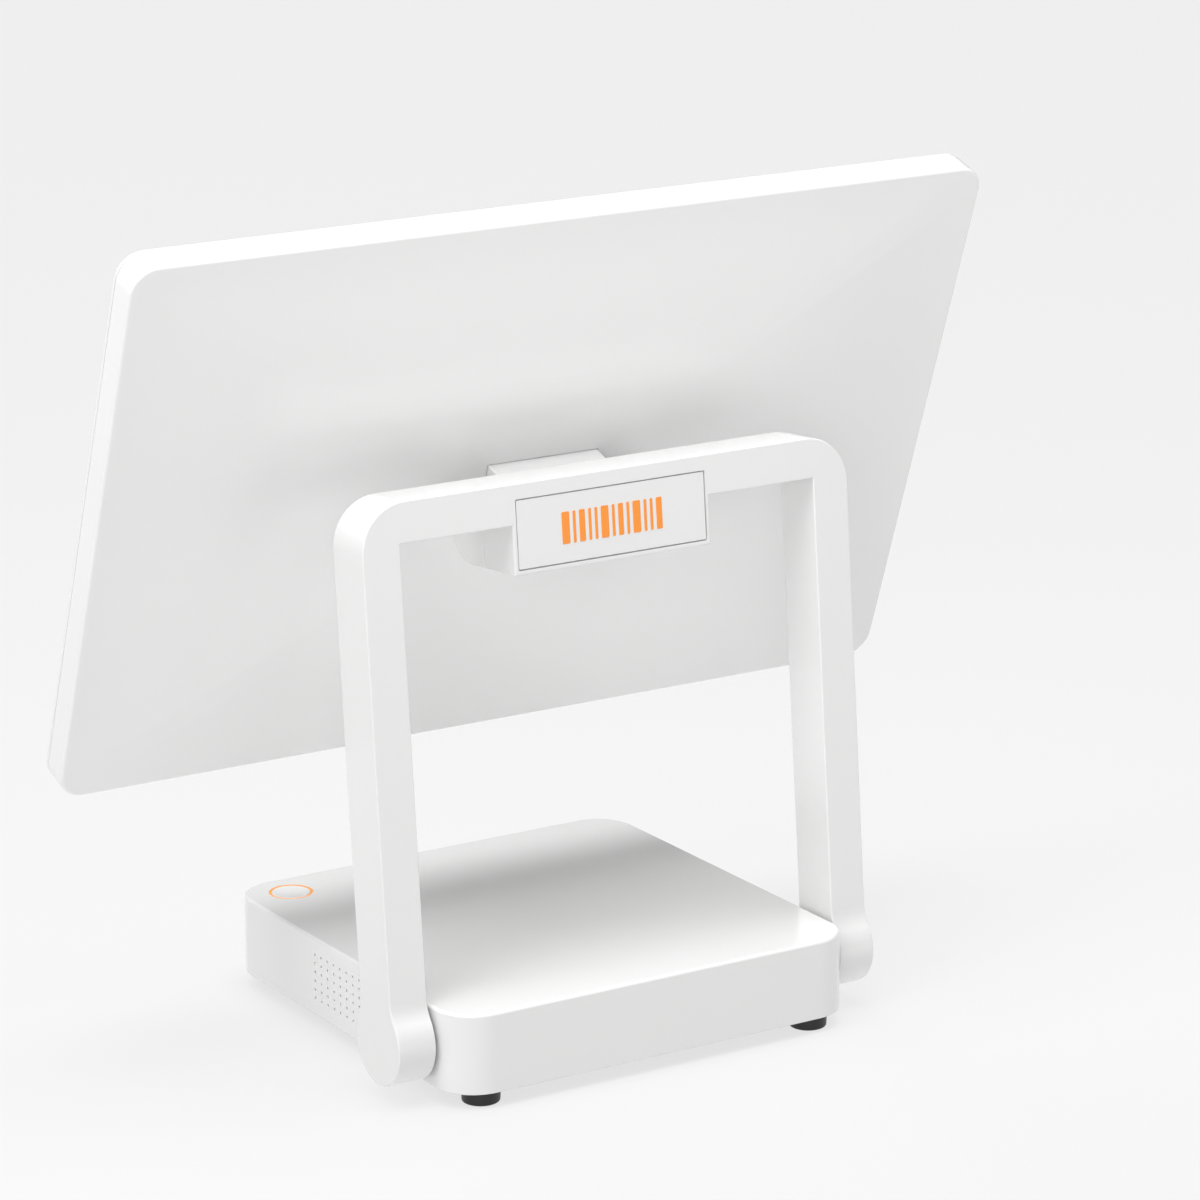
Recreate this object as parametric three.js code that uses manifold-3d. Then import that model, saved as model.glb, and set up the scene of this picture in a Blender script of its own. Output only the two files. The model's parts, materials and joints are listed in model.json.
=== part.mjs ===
// A point-of-sale touchscreen terminal: a square computer base, an arch-shaped stand that tilts on
// two hinge discs beside the base, and a 15.6 inch display that tilts on a hinge in the arch.
//
// Millimetres, +Z up. The origin is on the supporting surface, under the middle of the base.
// The operator stands on the -Y side, and +X is at the operator's right.
import * as THREE from "three";
import { mergeVertices } from "three/addons/utils/BufferGeometryUtils.js";
import Module from "manifold-3d";

const wasm = await Module();
wasm.setup();

// ---- Driving dimensions ----

const GAP = 0.3; // between pieces that touch
const FAR = 130; // past the object's sides: how far a tool reaches that cuts right through
const SIDES = [["left", -1], ["right", 1]];

const BASE = {
  width: 183.3, depth: 183.5, bottom: 6, top: 38.4, corner: 17, edge: 1.3, footEdge: 0.8, wall: 2.5,
};
const PLATE = {
  bottom: BASE.bottom + GAP, top: BASE.bottom + GAP + 2.4,
  standoffX: [-68, 50], standoffY: [-50, 33], standoff: 3, post: 2, postStep: 6,
};
const FOOT = { radius: 7.7, x: 75.6, y: 81.2, edge: 0.8, topEdge: 0.6 };
const BASE_SCREW = {
  x: 50, y: 80, boss: 4, hole: 1.8, holeTop: 24, length: 13,
  head: 2.9, headHeight: 1.3, shank: 1.5, recess: 1.1, recessDepth: 0.8, sink: 1.6,
};
const GRILLE = { rows: 6, columns: 11, pitchY: 5.1, pitchZ: 3.65, firstY: -20, firstZ: 13.3, hole: 0.6 };
const BUTTON = {
  x: 72.3, y: -75, radius: 7.9, edge: 0.5, capBottom: 35.6, stem: 3, stemBottom: 27.3,
  ringOuter: 8.9, ringBottom: 33, flange: 10.9, flangeTop: 35.4,
};
const BUTTON_BOARD = { half: 9, z: [20, 21.6] };
const SWITCH = { half: 3, z: [21.9, 25.4], plunger: 1.75, plungerTop: 26.2 };
const BOARD = { x: [-86, 56], y: [-56, 39], z: [12.3, 13.9] };
const CHIPS = [
  { x: [-5, 25], y: [-40, -10], top: 15.3 }, { x: [-52, -38], y: [-40, -26], top: 15.4 },
  { x: [47, 54], y: [-48, -38], top: 16 }, { x: [-36, -28], y: [-50, -42], top: 17 },
];
const HEATSINK = {
  x: [-24, 44], y: [-53, 3], plate: [15.6, 18.6], fin: 1.6, firstFin: -22, pitch: 7, top: 30.5,
};
const MEMORY = { x: [-60, 7.6], y: [6, 36], z: [14.2, 17.8] };
const SSD = { x: [13, 55], y: [10, 32], z: [14.2, 17.4] };
const SPEAKER = {
  x: [80, 88.5], y: [-18, 32], z: [12, 33],
  coneY: [-5.5, 19.5], coneZ: 22.5, cone: 8.2, coneBack: 85.5, dome: 3.6, domeFront: 87.2,
};
const PORT = { mouth: -91.2, back: -76, bottom: BOARD.z[1] + GAP };
const PORTS = {
  dc_jack: { y: [-52, -42], height: 11, bore: 3.2, boreDepth: 9, pin: 1 },
  lan_port: { y: [-37, -21], height: 13.5, mouth: { width: 11.8, height: 8.2, sill: 2.2, depth: 13 } },
  usb_port_1: { y: [-15, -0.5], height: 7.2, mouth: { width: 12.5, height: 5.1, sill: 1, depth: 13 } },
  usb_port_2: { y: [4, 18.5], height: 7.2, mouth: { width: 12.5, height: 5.1, sill: 1, depth: 13 } },
  drawer_port: { y: [23, 36.4], height: 11.5, mouth: { width: 9.8, height: 6.8, sill: 2, depth: 11 } },
};
const USB_TONGUE = { half: 5, rise: 2.2, thick: 1.8, setBack: 1.5 };

// The stand's own frame has its origin on the hinge axis, midway between the legs: +Y to the rear.
const STAND = {
  y: 61.7, z: 23.64, lean: 4.904,
  width: 218.95, leg: 16.2, depth: 23.14, disc: 16.75, blend: 14.7,
  barBottom: 192.8, top: 208.9, corner: 19, wall: 2.4, channelBottom: 20,
};
const BLOCK = { half: 44.2, bottom: 173.4 };
const NAMEPLATE = { width: 84.4, height: 26.5, thick: 1.2, z: 188.95 };
const SHAFT = { radius: 5, bore: 3, inner: 72, outer: 95.9, flange: 8, flangeThick: 2 };
const STAND_NUT = { radius: 8, x: [73.5, 78.7] };
const STAND_WASHER = { radius: 11, thick: 1 };
const STAND_BRACKET = {
  y: [47, 76.4], z: [9, 34.5], upright: [79, 81.5], sole: [62, 80], gusset: [66, 80], gussetTop: 24, thick: 2.5,
};
const ARCH_COVER = { thick: 2.2, windowLow: 170, windowHigh: 200.7 };
const BARCODE = {
  bars: [2.6, 1.2, 1.2, 3.4, 1.2, 2.2, 1.2, 3.4, 1.2, 1.2, 2.6, 1.2, 3.4],
  space: 1.6, half: 6.2, line: 1, raise: [0.1, 0.5],
};

// The display's own frame has its origin on the tilt axis. HINGE.y and HINGE.z are in the stand's frame.
const HINGE = { y: -21.23, z: 188.4, housing: 15, wall: 2.2, slot: 25.6, shaft: 3, shaftHalf: 40.5 };
const HINGE_MOUTH = [[-22, -34], [-60, -34], [-60, 60], [20, 60], [20, 0]]; // [y, z] from the tilt axis
const FRICTION_HINGE = { x: [28.3, 41.5], radius: 7.5, lugY: [4, 9], lugHalf: 10 };
const NECK = { half: 25, radius: 10.7, wall: 2, front: -27 };
const DISPLAY = {
  tilt: 19.655, width: 380, height: 234.9, corner: 11,
  front: -43.1, trim: 2.3, back: -28.8, centre: -2.3, wall: 2.2, edge: 1.3,
};
const GLASS = { inset: 2.1, thick: 1.8, setBack: 0.1 };
const LCD = { half: 179, y: [-40.9, -33.9], z: [-106.3, 101.7] };
const PANEL_FRAME = { half: 181, sheet: [-33.6, -32.4], front: -40, z: [-108.3, 103.7], rail: 1 };
const NECK_PLATE = { half: 50, y: [-32.1, -30.1], height: 30 };
const NECK_ARM = { half: 20, y: [-31, -3], thick: 2.5, knuckle: 6 };
const BRACKET_SCREW = { x: 42, z: 22, hole: 1.8, head: 3, headY: [-29.8, -28.4], shank: 1.5, tip: -33.3 };
const DRIVER_BOARD = { x: [70, 150], y: [-31.4, -29.8], z: [-42, 20] };
const DRIVER_CHIPS = [
  { x: [90, 104], y: [-30, -27.6], z: [-20, -6] }, { x: [118, 140], y: [-30, -27.4], z: [-34, -28] },
];
const TOUCH_BOARD = { x: [-140, -100], y: [-31.4, -29], z: [-30, 0] };

// The back cover: a flat rim, then a soft pillow that nears its full rise over a reach of some 60 mm.
const CROWN = { rim: 4.5, rise: 6, reach: 34, steepness: 1.4, rings: [1.3, 4.5, 10, 17, 25, 35, 50, 70, 105] };

// ---- Materials ----

const plastic = (color, roughness = 0.45) => new THREE.MeshStandardMaterial({ color, roughness });
const metal = (color, roughness = 0.4) =>
  new THREE.MeshStandardMaterial({ color, roughness, metalness: 1 });

const WHITE = plastic(0xf1f1f0, 0.4);
const ORANGE = plastic(0xff8a2a, 0.35);
const RUBBER = plastic(0x17181a, 0.85);
const BLACK = plastic(0x141416, 0.5);
const GREEN = plastic(0x1d5a3a, 0.5);
const NYLON = plastic(0x1a1a1b, 0.55);
const SCREEN = new THREE.MeshStandardMaterial({ color: 0x08090b, roughness: 0.08 });
const STEEL = metal(0xa9adb2);
const ALUMINIUM = metal(0xc4c7ca, 0.35);

// ---- Solids ----

function solid(geometry) {
  const bare = new THREE.BufferGeometry();
  bare.setAttribute("position", geometry.getAttribute("position"));
  bare.setIndex(geometry.getIndex());
  const merged = mergeVertices(bare, 1e-3);
  const mesh = new wasm.Mesh({
    numProp: 3,
    vertProperties: merged.attributes.position.array,
    triVerts: new Uint32Array(merged.index.array),
  });
  return new wasm.Manifold(mesh);
}

function geometryOf(body) {
  const mesh = body.getMesh();
  const geometry = new THREE.BufferGeometry();
  geometry.setAttribute("position", new THREE.BufferAttribute(mesh.vertProperties, 3));
  geometry.setIndex(new THREE.BufferAttribute(mesh.triVerts, 1));
  return geometry;
}

const join = (bodies) => bodies.reduce((whole, body) => whole.add(body));
const cut = (body, tools) => tools.reduce((rest, tool) => rest.subtract(tool), body);
const span = (a, b) => [Math.min(a, b), Math.max(a, b)];
const middle = ([low, high]) => (low + high) / 2;

function block(x, y, z) {
  const box = new THREE.BoxGeometry(x[1] - x[0], y[1] - y[0], z[1] - z[0]);
  return solid(box.translate(middle(x), middle(y), middle(z)));
}

function rodX(radius, x, y, z, sides = 24) {
  const rod = new THREE.CylinderGeometry(radius, radius, x[1] - x[0], sides);
  return solid(rod.rotateZ(Math.PI / 2).translate(middle(x), y, z));
}

function rodY(radius, x, y, z, sides = 16) {
  const rod = new THREE.CylinderGeometry(radius, radius, y[1] - y[0], sides);
  return solid(rod.translate(x, middle(y), z));
}

function rodZ(radius, x, y, z, sides = 24) {
  const rod = new THREE.CylinderGeometry(radius, radius, z[1] - z[0], sides);
  return solid(rod.rotateX(Math.PI / 2).translate(x, y, middle(z)));
}

// A profile of [radius, height] points turned about a vertical axis at x, y.
function turned(profile, x, y, sides = 32) {
  const points = profile.map(([r, z]) => new THREE.Vector2(r, z));
  return solid(new THREE.LatheGeometry(points, sides).rotateX(Math.PI / 2).translate(x, y, 0));
}

const extrude = (shape, depth, steps) =>
  new THREE.ExtrudeGeometry(shape, { depth, bevelEnabled: false, curveSegments: steps });

// A shape drawn in X and Z, made thick along Y.
function panel(shape, y, steps = 5) {
  return solid(extrude(shape, y[1] - y[0], steps).rotateX(Math.PI / 2).translate(0, y[1], 0));
}

// A shape drawn in Y and Z, made long along X.
function prism(shape, x, steps = 6) {
  const turn = new THREE.Matrix4().makeBasis(
    new THREE.Vector3(0, 1, 0), new THREE.Vector3(0, 0, 1), new THREE.Vector3(1, 0, 0));
  return solid(extrude(shape, x[1] - x[0], steps).applyMatrix4(turn).translate(x[0], 0, 0));
}

function roundedShape(width, height, radius, centre = 0) {
  const [w, h] = [width / 2 - radius, height / 2 - radius];
  const shape = new THREE.Shape();
  shape.absarc(w, centre + h, radius, 0, Math.PI / 2);
  shape.absarc(-w, centre + h, radius, Math.PI / 2, Math.PI);
  shape.absarc(-w, centre - h, radius, Math.PI, 1.5 * Math.PI);
  shape.absarc(w, centre - h, radius, 1.5 * Math.PI, 2 * Math.PI);
  shape.closePath();
  return shape;
}

// A rounded rectangle of points at one height, counter-clockwise.
function ring(width, depth, radius, height, steps) {
  const points = [];
  for (let corner = 0; corner < 4; corner++) {
    const x = (width / 2 - radius) * (corner === 0 || corner === 3 ? 1 : -1);
    const y = (depth / 2 - radius) * (corner < 2 ? 1 : -1);
    for (let step = 0; step <= steps; step++) {
      const angle = (corner + step / steps) * Math.PI / 2;
      points.push([x + radius * Math.cos(angle), y + radius * Math.sin(angle), height]);
    }
  }
  return points;
}

// The closed skin over a stack of rings with equal numbers of points, from low to high.
function loft(rings) {
  const count = rings[0].length;
  const last = (rings.length - 1) * count;
  const faces = [];
  for (let level = 0; level < last; level += count) {
    for (let i = 0; i < count; i++) {
      const next = (i + 1) % count;
      faces.push(level + i, level + next, level + count + next);
      faces.push(level + i, level + count + next, level + count + i);
    }
  }
  for (let i = 1; i < count - 1; i++) {
    faces.push(0, i + 1, i, last, last + i, last + i + 1);
  }
  const geometry = new THREE.BufferGeometry();
  geometry.setAttribute("position", new THREE.Float32BufferAttribute(rings.flat(2), 3));
  geometry.setIndex(faces);
  return geometry;
}

function piece(name, material, shape) {
  const mesh = new THREE.Mesh(geometryOf(shape), material);
  mesh.name = name;
  return mesh;
}

// ---- Base ----

const baseRing = (inset, height) =>
  ring(BASE.width - 2 * inset, BASE.depth - 2 * inset, BASE.corner - inset, height, 7);

function portWindow({ y, height }) {
  const wall = [-BASE.width / 2 - 1, -BASE.width / 2 + BASE.wall + 1];
  return block(wall, [y[0] - GAP, y[1] + GAP], [PORT.bottom - GAP, PORT.bottom + height + GAP]);
}

function grilleHoles() {
  const holes = [];
  for (let row = 0; row < GRILLE.rows; row++) {
    for (let column = 0; column < GRILLE.columns; column++) {
      const y = GRILLE.firstY + column * GRILLE.pitchY;
      const z = GRILLE.firstZ + row * GRILLE.pitchZ;
      holes.push(rodX(GRILLE.hole, [BASE.width / 2 - BASE.wall - 1, BASE.width / 2 + 1], y, z, 6));
    }
  }
  return holes;
}

const screwPlaces = [-1, 1].flatMap((sx) => [-1, 1].map((sy) => [sx * BASE_SCREW.x, sy * BASE_SCREW.y]));

function topCover() {
  const { bottom, top, edge, footEdge, wall } = BASE;
  const outside = solid(loft([
    baseRing(footEdge, bottom), baseRing(0, bottom + footEdge), baseRing(0, top - edge),
    baseRing(0.3 * edge, top - 0.3 * edge), baseRing(edge, top),
  ]));
  const inside = solid(loft([baseRing(wall, bottom - 1), baseRing(wall, top - wall)]));
  const bosses = screwPlaces.map(([x, y]) =>
    rodZ(BASE_SCREW.boss, x, y, [PLATE.top + GAP, top - 1], 16));
  const pilots = screwPlaces.map(([x, y]) => rodZ(BASE_SCREW.hole, x, y, [0, BASE_SCREW.holeTop], 12));
  const shaftHole = rodX(SHAFT.radius + 2 * GAP, [-FAR, FAR], STAND.y, STAND.z);
  const hollow = cut(outside, [inside, shaftHole]);
  const buttonHole = rodZ(BUTTON.ringOuter + GAP, BUTTON.x, BUTTON.y, [top - 5, top + 5], 32);
  return cut(join([hollow, ...bosses]), [
    ...pilots, buttonHole, ...grilleHoles(), ...Object.values(PORTS).map(portWindow),
  ]);
}

function bottomPlate() {
  const inset = BASE.wall + GAP;
  const sheet = solid(loft([baseRing(inset, PLATE.bottom), baseRing(inset, PLATE.top)]));
  const { standoff, standoffX, standoffY, post, postStep } = PLATE;
  const standoffs = standoffX.flatMap((x) => standoffY.map((y) =>
    rodZ(standoff, x, y, [PLATE.top - 1, BOARD.z[0] - GAP], 12)));
  const posts = [-postStep, postStep].map((step) =>
    rodZ(post, BUTTON.x + step, BUTTON.y + step, [PLATE.top - 1, BUTTON_BOARD.z[0] - GAP], 12));
  const holes = screwPlaces.flatMap(([x, y]) => [
    rodZ(BASE_SCREW.hole, x, y, [0, PLATE.top + 1], 12),
    rodZ(BASE_SCREW.head + GAP, x, y, [0, PLATE.bottom + BASE_SCREW.sink], 16),
  ]);
  return cut(join([sheet, ...standoffs, ...posts]), holes);
}

function foot(x, y) {
  const { radius, edge, topEdge } = FOOT;
  return turned([[0, 0], [radius - edge, 0], [radius, edge], [radius, BASE.bottom - topEdge],
    [radius - topEdge, BASE.bottom], [0, BASE.bottom]], x, y, 28);
}

function baseScrew(x, y) {
  const { head, headHeight, shank, length, recess, recessDepth } = BASE_SCREW;
  const low = PLATE.bottom;
  return turned([[0, low + recessDepth], [recess, low + recessDepth], [recess, low], [head, low],
    [head, low + headHeight], [shank, low + headHeight], [shank, low + length], [0, low + length]], x, y, 12);
}

function powerButton() {
  const { radius, edge, stem, stemBottom, capBottom } = BUTTON;
  return turned([[0, stemBottom], [stem, stemBottom], [stem, capBottom], [radius, capBottom],
    [radius, BASE.top - edge], [radius - edge, BASE.top], [0, BASE.top]], BUTTON.x, BUTTON.y);
}

function lightRing() {
  const inner = BUTTON.radius + GAP;
  const { flange, flangeTop, ringBottom, ringOuter } = BUTTON;
  return turned([[inner, ringBottom], [flange, ringBottom], [flange, flangeTop], [ringOuter, flangeTop],
    [ringOuter, BASE.top], [inner, BASE.top], [inner, ringBottom]], BUTTON.x, BUTTON.y);
}

function powerSwitch() {
  const { x, y } = BUTTON;
  const { half, z, plunger, plungerTop } = SWITCH;
  const body = block([x - half, x + half], [y - half, y + half], z);
  return body.add(rodZ(plunger, x, y, [z[1] - 0.4, plungerTop], 12));
}

function mainboard() {
  const chips = CHIPS.map(({ x, y, top }) => block(x, y, [middle(BOARD.z), top]));
  return join([block(BOARD.x, BOARD.y, BOARD.z), ...chips]);
}

function heatsink() {
  const { x, y, plate, fin, firstFin, pitch, top } = HEATSINK;
  const fins = [];
  for (let low = firstFin; low < x[1]; low += pitch) {
    fins.push(block([low, low + fin], y, [middle(plate), top]));
  }
  return join([block(x, y, plate), ...fins]);
}

function speaker() {
  const { x, y, z, coneY, coneZ, cone, coneBack, dome, domeFront } = SPEAKER;
  const cones = coneY.map((side) => rodX(cone, [coneBack, x[1] + 1], side, coneZ, 20));
  const domes = coneY.map((side) => rodX(dome, [coneBack - 0.5, domeFront], side, coneZ, 16));
  return join([cut(block(x, y, z), cones), ...domes]);
}

// A square socket in the base's left wall: a housing with a cavity that opens outwards.
function socket({ y, height, mouth }) {
  const top = PORT.bottom + height;
  const housing = block([PORT.mouth, PORT.back], y, [PORT.bottom, top]);
  const half = mouth.width / 2;
  const low = PORT.bottom + mouth.sill;
  const cavity = block([PORT.mouth - 1, PORT.mouth + mouth.depth],
    [middle(y) - half, middle(y) + half], [low, low + mouth.height]);
  return cut(housing, [cavity]);
}

function usbPort(port) {
  const { half, rise, thick, setBack } = USB_TONGUE;
  const low = PORT.bottom + port.mouth.sill + rise;
  const y = [middle(port.y) - half, middle(port.y) + half];
  return socket(port).add(block([PORT.mouth + setBack, PORT.back - 1], y, [low, low + thick]));
}

function dcJack({ y, height, bore, boreDepth, pin }) {
  const housing = block([PORT.mouth, PORT.back], y, [PORT.bottom, PORT.bottom + height]);
  const z = PORT.bottom + height / 2;
  const hole = rodX(bore, [PORT.mouth - 1, PORT.mouth + boreDepth], middle(y), z, 20);
  const contact = rodX(pin, [PORT.mouth + 1, PORT.mouth + boreDepth + 1], middle(y), z, 12);
  return housing.subtract(hole).add(contact);
}

function hingeBracket(side) {
  const { y, z, upright, sole, gusset, gussetTop, thick } = STAND_BRACKET;
  const across = (x) => span(side * x[0], side * x[1]);
  const plates = [
    block(across(upright), y, z),
    block(across(sole), y, [z[0], z[0] + thick]),
    block(across(gusset), [y[0], y[0] + thick], [z[0] + 1, gussetTop]),
  ];
  return cut(join(plates), [rodX(SHAFT.radius + GAP, [-FAR, FAR], STAND.y, STAND.z)]);
}

function hingeNut(side) {
  const x = span(side * STAND_NUT.x[0], side * STAND_NUT.x[1]);
  const nut = rodX(STAND_NUT.radius, x, STAND.y, STAND.z, 6);
  return nut.subtract(rodX(SHAFT.radius + GAP, [-FAR, FAR], STAND.y, STAND.z));
}

function hingeWasher(side) {
  const { radius, thick } = STAND_WASHER;
  const centre = side * (BASE.width / 2 + STAND.width / 2 - STAND.leg) / 2;
  const disc = rodX(radius, [centre - thick / 2, centre + thick / 2], STAND.y, STAND.z, 28);
  return disc.subtract(rodX(SHAFT.radius + GAP, [-FAR, FAR], STAND.y, STAND.z));
}

// The hollow shaft that a leg turns on. Its flange sits inside the leg's disc and holds the leg on.
function standShaft(side) {
  const { radius, bore, inner, outer, flange, flangeThick } = SHAFT;
  const low = outer + 0.2;
  const rod = rodX(radius, span(side * inner, side * (low + 1)), STAND.y, STAND.z);
  const collar = rodX(flange, span(side * low, side * (low + flangeThick)), STAND.y, STAND.z);
  return rod.add(collar).subtract(rodX(bore, [-FAR, FAR], STAND.y, STAND.z, 16));
}

function makeBase() {
  const base = new THREE.Group();
  base.add(piece("base_top_cover", WHITE, topCover()));
  base.add(piece("base_bottom_plate", BLACK, bottomPlate()));
  for (const [side, sx] of SIDES) {
    for (const [end, sy] of [["front", -1], ["rear", 1]]) {
      base.add(piece(`foot_${end}_${side}`, RUBBER, foot(sx * FOOT.x, sy * FOOT.y)));
      base.add(piece(`base_screw_${end}_${side}`, STEEL, baseScrew(sx * BASE_SCREW.x, sy * BASE_SCREW.y)));
    }
    base.add(piece(`stand_hinge_bracket_${side}`, STEEL, hingeBracket(sx)));
    base.add(piece(`stand_hinge_shaft_${side}`, STEEL, standShaft(sx)));
    base.add(piece(`stand_hinge_nut_${side}`, STEEL, hingeNut(sx)));
    base.add(piece(`stand_hinge_washer_${side}`, NYLON, hingeWasher(sx)));
  }
  base.add(piece("mainboard", GREEN, mainboard()));
  base.add(piece("cpu_heatsink", ALUMINIUM, heatsink()));
  base.add(piece("memory_module", GREEN, block(MEMORY.x, MEMORY.y, MEMORY.z)));
  base.add(piece("ssd_module", GREEN, block(SSD.x, SSD.y, SSD.z)));
  base.add(piece("speaker", BLACK, speaker()));
  base.add(piece("dc_jack", BLACK, dcJack(PORTS.dc_jack)));
  base.add(piece("lan_port", STEEL, socket(PORTS.lan_port)));
  base.add(piece("usb_port_1", STEEL, usbPort(PORTS.usb_port_1)));
  base.add(piece("usb_port_2", STEEL, usbPort(PORTS.usb_port_2)));
  base.add(piece("drawer_port", BLACK, socket(PORTS.drawer_port)));
  base.add(piece("power_button", WHITE, powerButton()));
  base.add(piece("button_light_ring", ORANGE, lightRing()));
  const { half, z } = BUTTON_BOARD;
  base.add(piece("button_board", GREEN,
    block([BUTTON.x - half, BUTTON.x + half], [BUTTON.y - half, BUTTON.y + half], z)));
  base.add(piece("power_switch", BLACK, powerSwitch()));
  return base;
}

// ---- Stand ----

// The arch seen from behind, drawn smaller by the inset on every side but the feet.
function archShape(inset) {
  const outer = STAND.width / 2 - inset;
  const inner = STAND.width / 2 - STAND.leg + inset;
  const bar = STAND.barBottom + inset;
  const block = BLOCK.half - inset;
  const top = STAND.top - inset;
  const radius = STAND.corner - inset;
  const low = -STAND.disc - 5;
  const shape = new THREE.Shape();
  shape.moveTo(-outer, low);
  for (const [x, z] of [[-inner, low], [-inner, bar], [-block, bar], [-block, BLOCK.bottom + inset],
    [block, BLOCK.bottom + inset], [block, bar], [inner, bar], [inner, low], [outer, low]]) {
    shape.lineTo(x, z);
  }
  shape.absarc(outer - radius, top - radius, radius, 0, Math.PI / 2);
  shape.absarc(radius - outer, top - radius, radius, Math.PI / 2, Math.PI);
  shape.closePath();
  return shape;
}

// The leg seen from the side: straight faces that flow through a concave blend into the hinge disc.
function legShape() {
  const half = STAND.depth / 2;
  const reach = STAND.disc + STAND.blend;
  const blendY = half + STAND.blend;
  const blendZ = Math.sqrt(reach * reach - blendY * blendY);
  const angle = Math.atan2(blendZ, blendY);
  const shape = new THREE.Shape();
  shape.moveTo(half, STAND.top + 5);
  shape.lineTo(half, blendZ);
  shape.absarc(blendY, blendZ, STAND.blend, Math.PI, Math.PI + angle);
  shape.absarc(0, 0, STAND.disc, angle, -Math.PI - angle, true);
  shape.absarc(-blendY, blendZ, STAND.blend, -angle, 0);
  shape.lineTo(-half, STAND.top + 5);
  shape.closePath();
  return shape;
}

function standFrame() {
  const half = STAND.depth / 2;
  const { wall, disc, channelBottom } = STAND;
  const outside = panel(archShape(0), [-FAR, FAR]).intersect(prism(legShape(), [-FAR, FAR], 9));
  const room = join([
    block([-FAR, FAR], [-FAR, half - wall], [channelBottom, STAND.top]),
    block([-FAR, FAR], [wall - half, half - wall], [0, channelBottom + 1]),
    rodX(disc - wall, [-FAR, FAR], 0, 0, 28),
  ]);
  const channel = panel(archShape(wall), [-FAR, FAR]).intersect(room);
  const shaftHole = rodX(SHAFT.radius + GAP, [-SHAFT.outer, SHAFT.outer], 0, 0);
  const recess = panel(
    roundedShape(NAMEPLATE.width + 2 * GAP, NAMEPLATE.height + 2 * GAP, 1.5, NAMEPLATE.z),
    [half - NAMEPLATE.thick - GAP, half + 1], 2);
  return cut(outside, [channel, shaftHole, recess]);
}

function standFrontCover() {
  const half = STAND.depth / 2;
  const { thick, windowLow, windowHigh } = ARCH_COVER;
  const sheet = panel(archShape(STAND.wall + GAP), [-half, thick - half]);
  const lowEnd = block([-FAR, FAR], [-FAR, FAR], [-FAR, STAND.channelBottom + GAP]);
  const neckWindow = block([-HINGE.slot, HINGE.slot], [-FAR, FAR], [windowLow, windowHigh]);
  return cut(sheet, [lowEnd, neckWindow]);
}

// A barcode of plain bars on a thin ground line.
function nameplateMark() {
  const { bars, space, half, line, raise } = BARCODE;
  const y = raise.map((height) => STAND.depth / 2 + height);
  const low = NAMEPLATE.z - half;
  const total = bars.reduce((sum, width) => sum + width + space, -space);
  const solids = [block([-total / 2, total / 2], y, [low, low + line])];
  let x = -total / 2;
  for (const width of bars) {
    solids.push(block([x, x + width], y, [low, NAMEPLATE.z + half]));
    x += width + space;
  }
  return join(solids);
}

// The D-shaped front of the hinge block, seen from the side, round the tilt axis.
function housingShape(inset, rear) {
  const radius = HINGE.housing - inset;
  const shape = new THREE.Shape();
  shape.moveTo(rear, -radius);
  shape.lineTo(rear, radius);
  shape.absarc(0, 0, radius, Math.PI / 2, 1.5 * Math.PI);
  shape.closePath();
  return shape;
}

function hingeFrontCover() {
  const rear = -STAND.depth / 2 - GAP - HINGE.y;
  const { slot, wall, housing } = HINGE;
  const room = housingShape(wall, 2 * housing);
  const cheekRoom = SIDES.map(([, side]) =>
    prism(room, span(side * (slot + wall), side * (BLOCK.half - wall))));
  const middleRoom = prism(room, [-slot, slot]);
  const mouth = new THREE.Shape();
  mouth.moveTo(0, 0);
  for (const [y, z] of HINGE_MOUTH) {
    mouth.lineTo(y, z);
  }
  const neckRoom = prism(mouth, [-slot, slot]);
  const shaftHole = rodX(HINGE.shaft + GAP, [-slot - wall - 1, slot + wall + 1], 0, 0, 16);
  const outside = prism(housingShape(0, rear), [-BLOCK.half, BLOCK.half], 8);
  return cut(outside, [...cheekRoom, middleRoom, neckRoom, shaftHole]);
}

// A friction hinge barrel with the plate that bolts it to the arch.
function frictionHinge(side) {
  const { radius, lugY, lugHalf } = FRICTION_HINGE;
  const x = span(side * FRICTION_HINGE.x[0], side * FRICTION_HINGE.x[1]);
  const lug = block(x, lugY, [-lugHalf, lugHalf]);
  return rodX(radius, x, 0, 0).add(lug).subtract(rodX(HINGE.shaft + GAP, [-FAR, FAR], 0, 0, 16));
}

function makeStand() {
  const stand = new THREE.Group();
  stand.position.set(0, STAND.y, STAND.z);
  stand.rotation.x = THREE.MathUtils.degToRad(STAND.lean);
  stand.add(piece("stand_frame", WHITE, standFrame()));
  stand.add(piece("stand_front_cover", WHITE, standFrontCover()));
  stand.add(piece("nameplate", WHITE, panel(
    roundedShape(NAMEPLATE.width, NAMEPLATE.height, 1.3, NAMEPLATE.z),
    [STAND.depth / 2 - NAMEPLATE.thick, STAND.depth / 2], 2)));
  stand.add(piece("nameplate_mark", ORANGE, nameplateMark()));

  const hinge = new THREE.Group();
  hinge.position.set(0, HINGE.y, HINGE.z);
  hinge.add(piece("hinge_front_cover", WHITE, hingeFrontCover()));
  for (const [side, sx] of SIDES) {
    hinge.add(piece(`tilt_hinge_${side}`, STEEL, frictionHinge(sx)));
  }
  stand.add(hinge);
  return stand;
}

// ---- Display ----

const displayShape = (inset) => roundedShape(
  DISPLAY.width - 2 * inset, DISPLAY.height - 2 * inset, DISPLAY.corner - inset, DISPLAY.centre);

// A ring of the display's outline, drawn smaller by the inset, at a depth measured along Y.
function displayRing(inset, depth) {
  const radius = Math.max(DISPLAY.corner - inset, 2);
  return ring(DISPLAY.width - 2 * inset, DISPLAY.height - 2 * inset, radius, depth, 5);
}

function displayLoft(rings) {
  return solid(loft(rings).rotateX(-Math.PI / 2).translate(0, 0, DISPLAY.centre));
}

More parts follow.
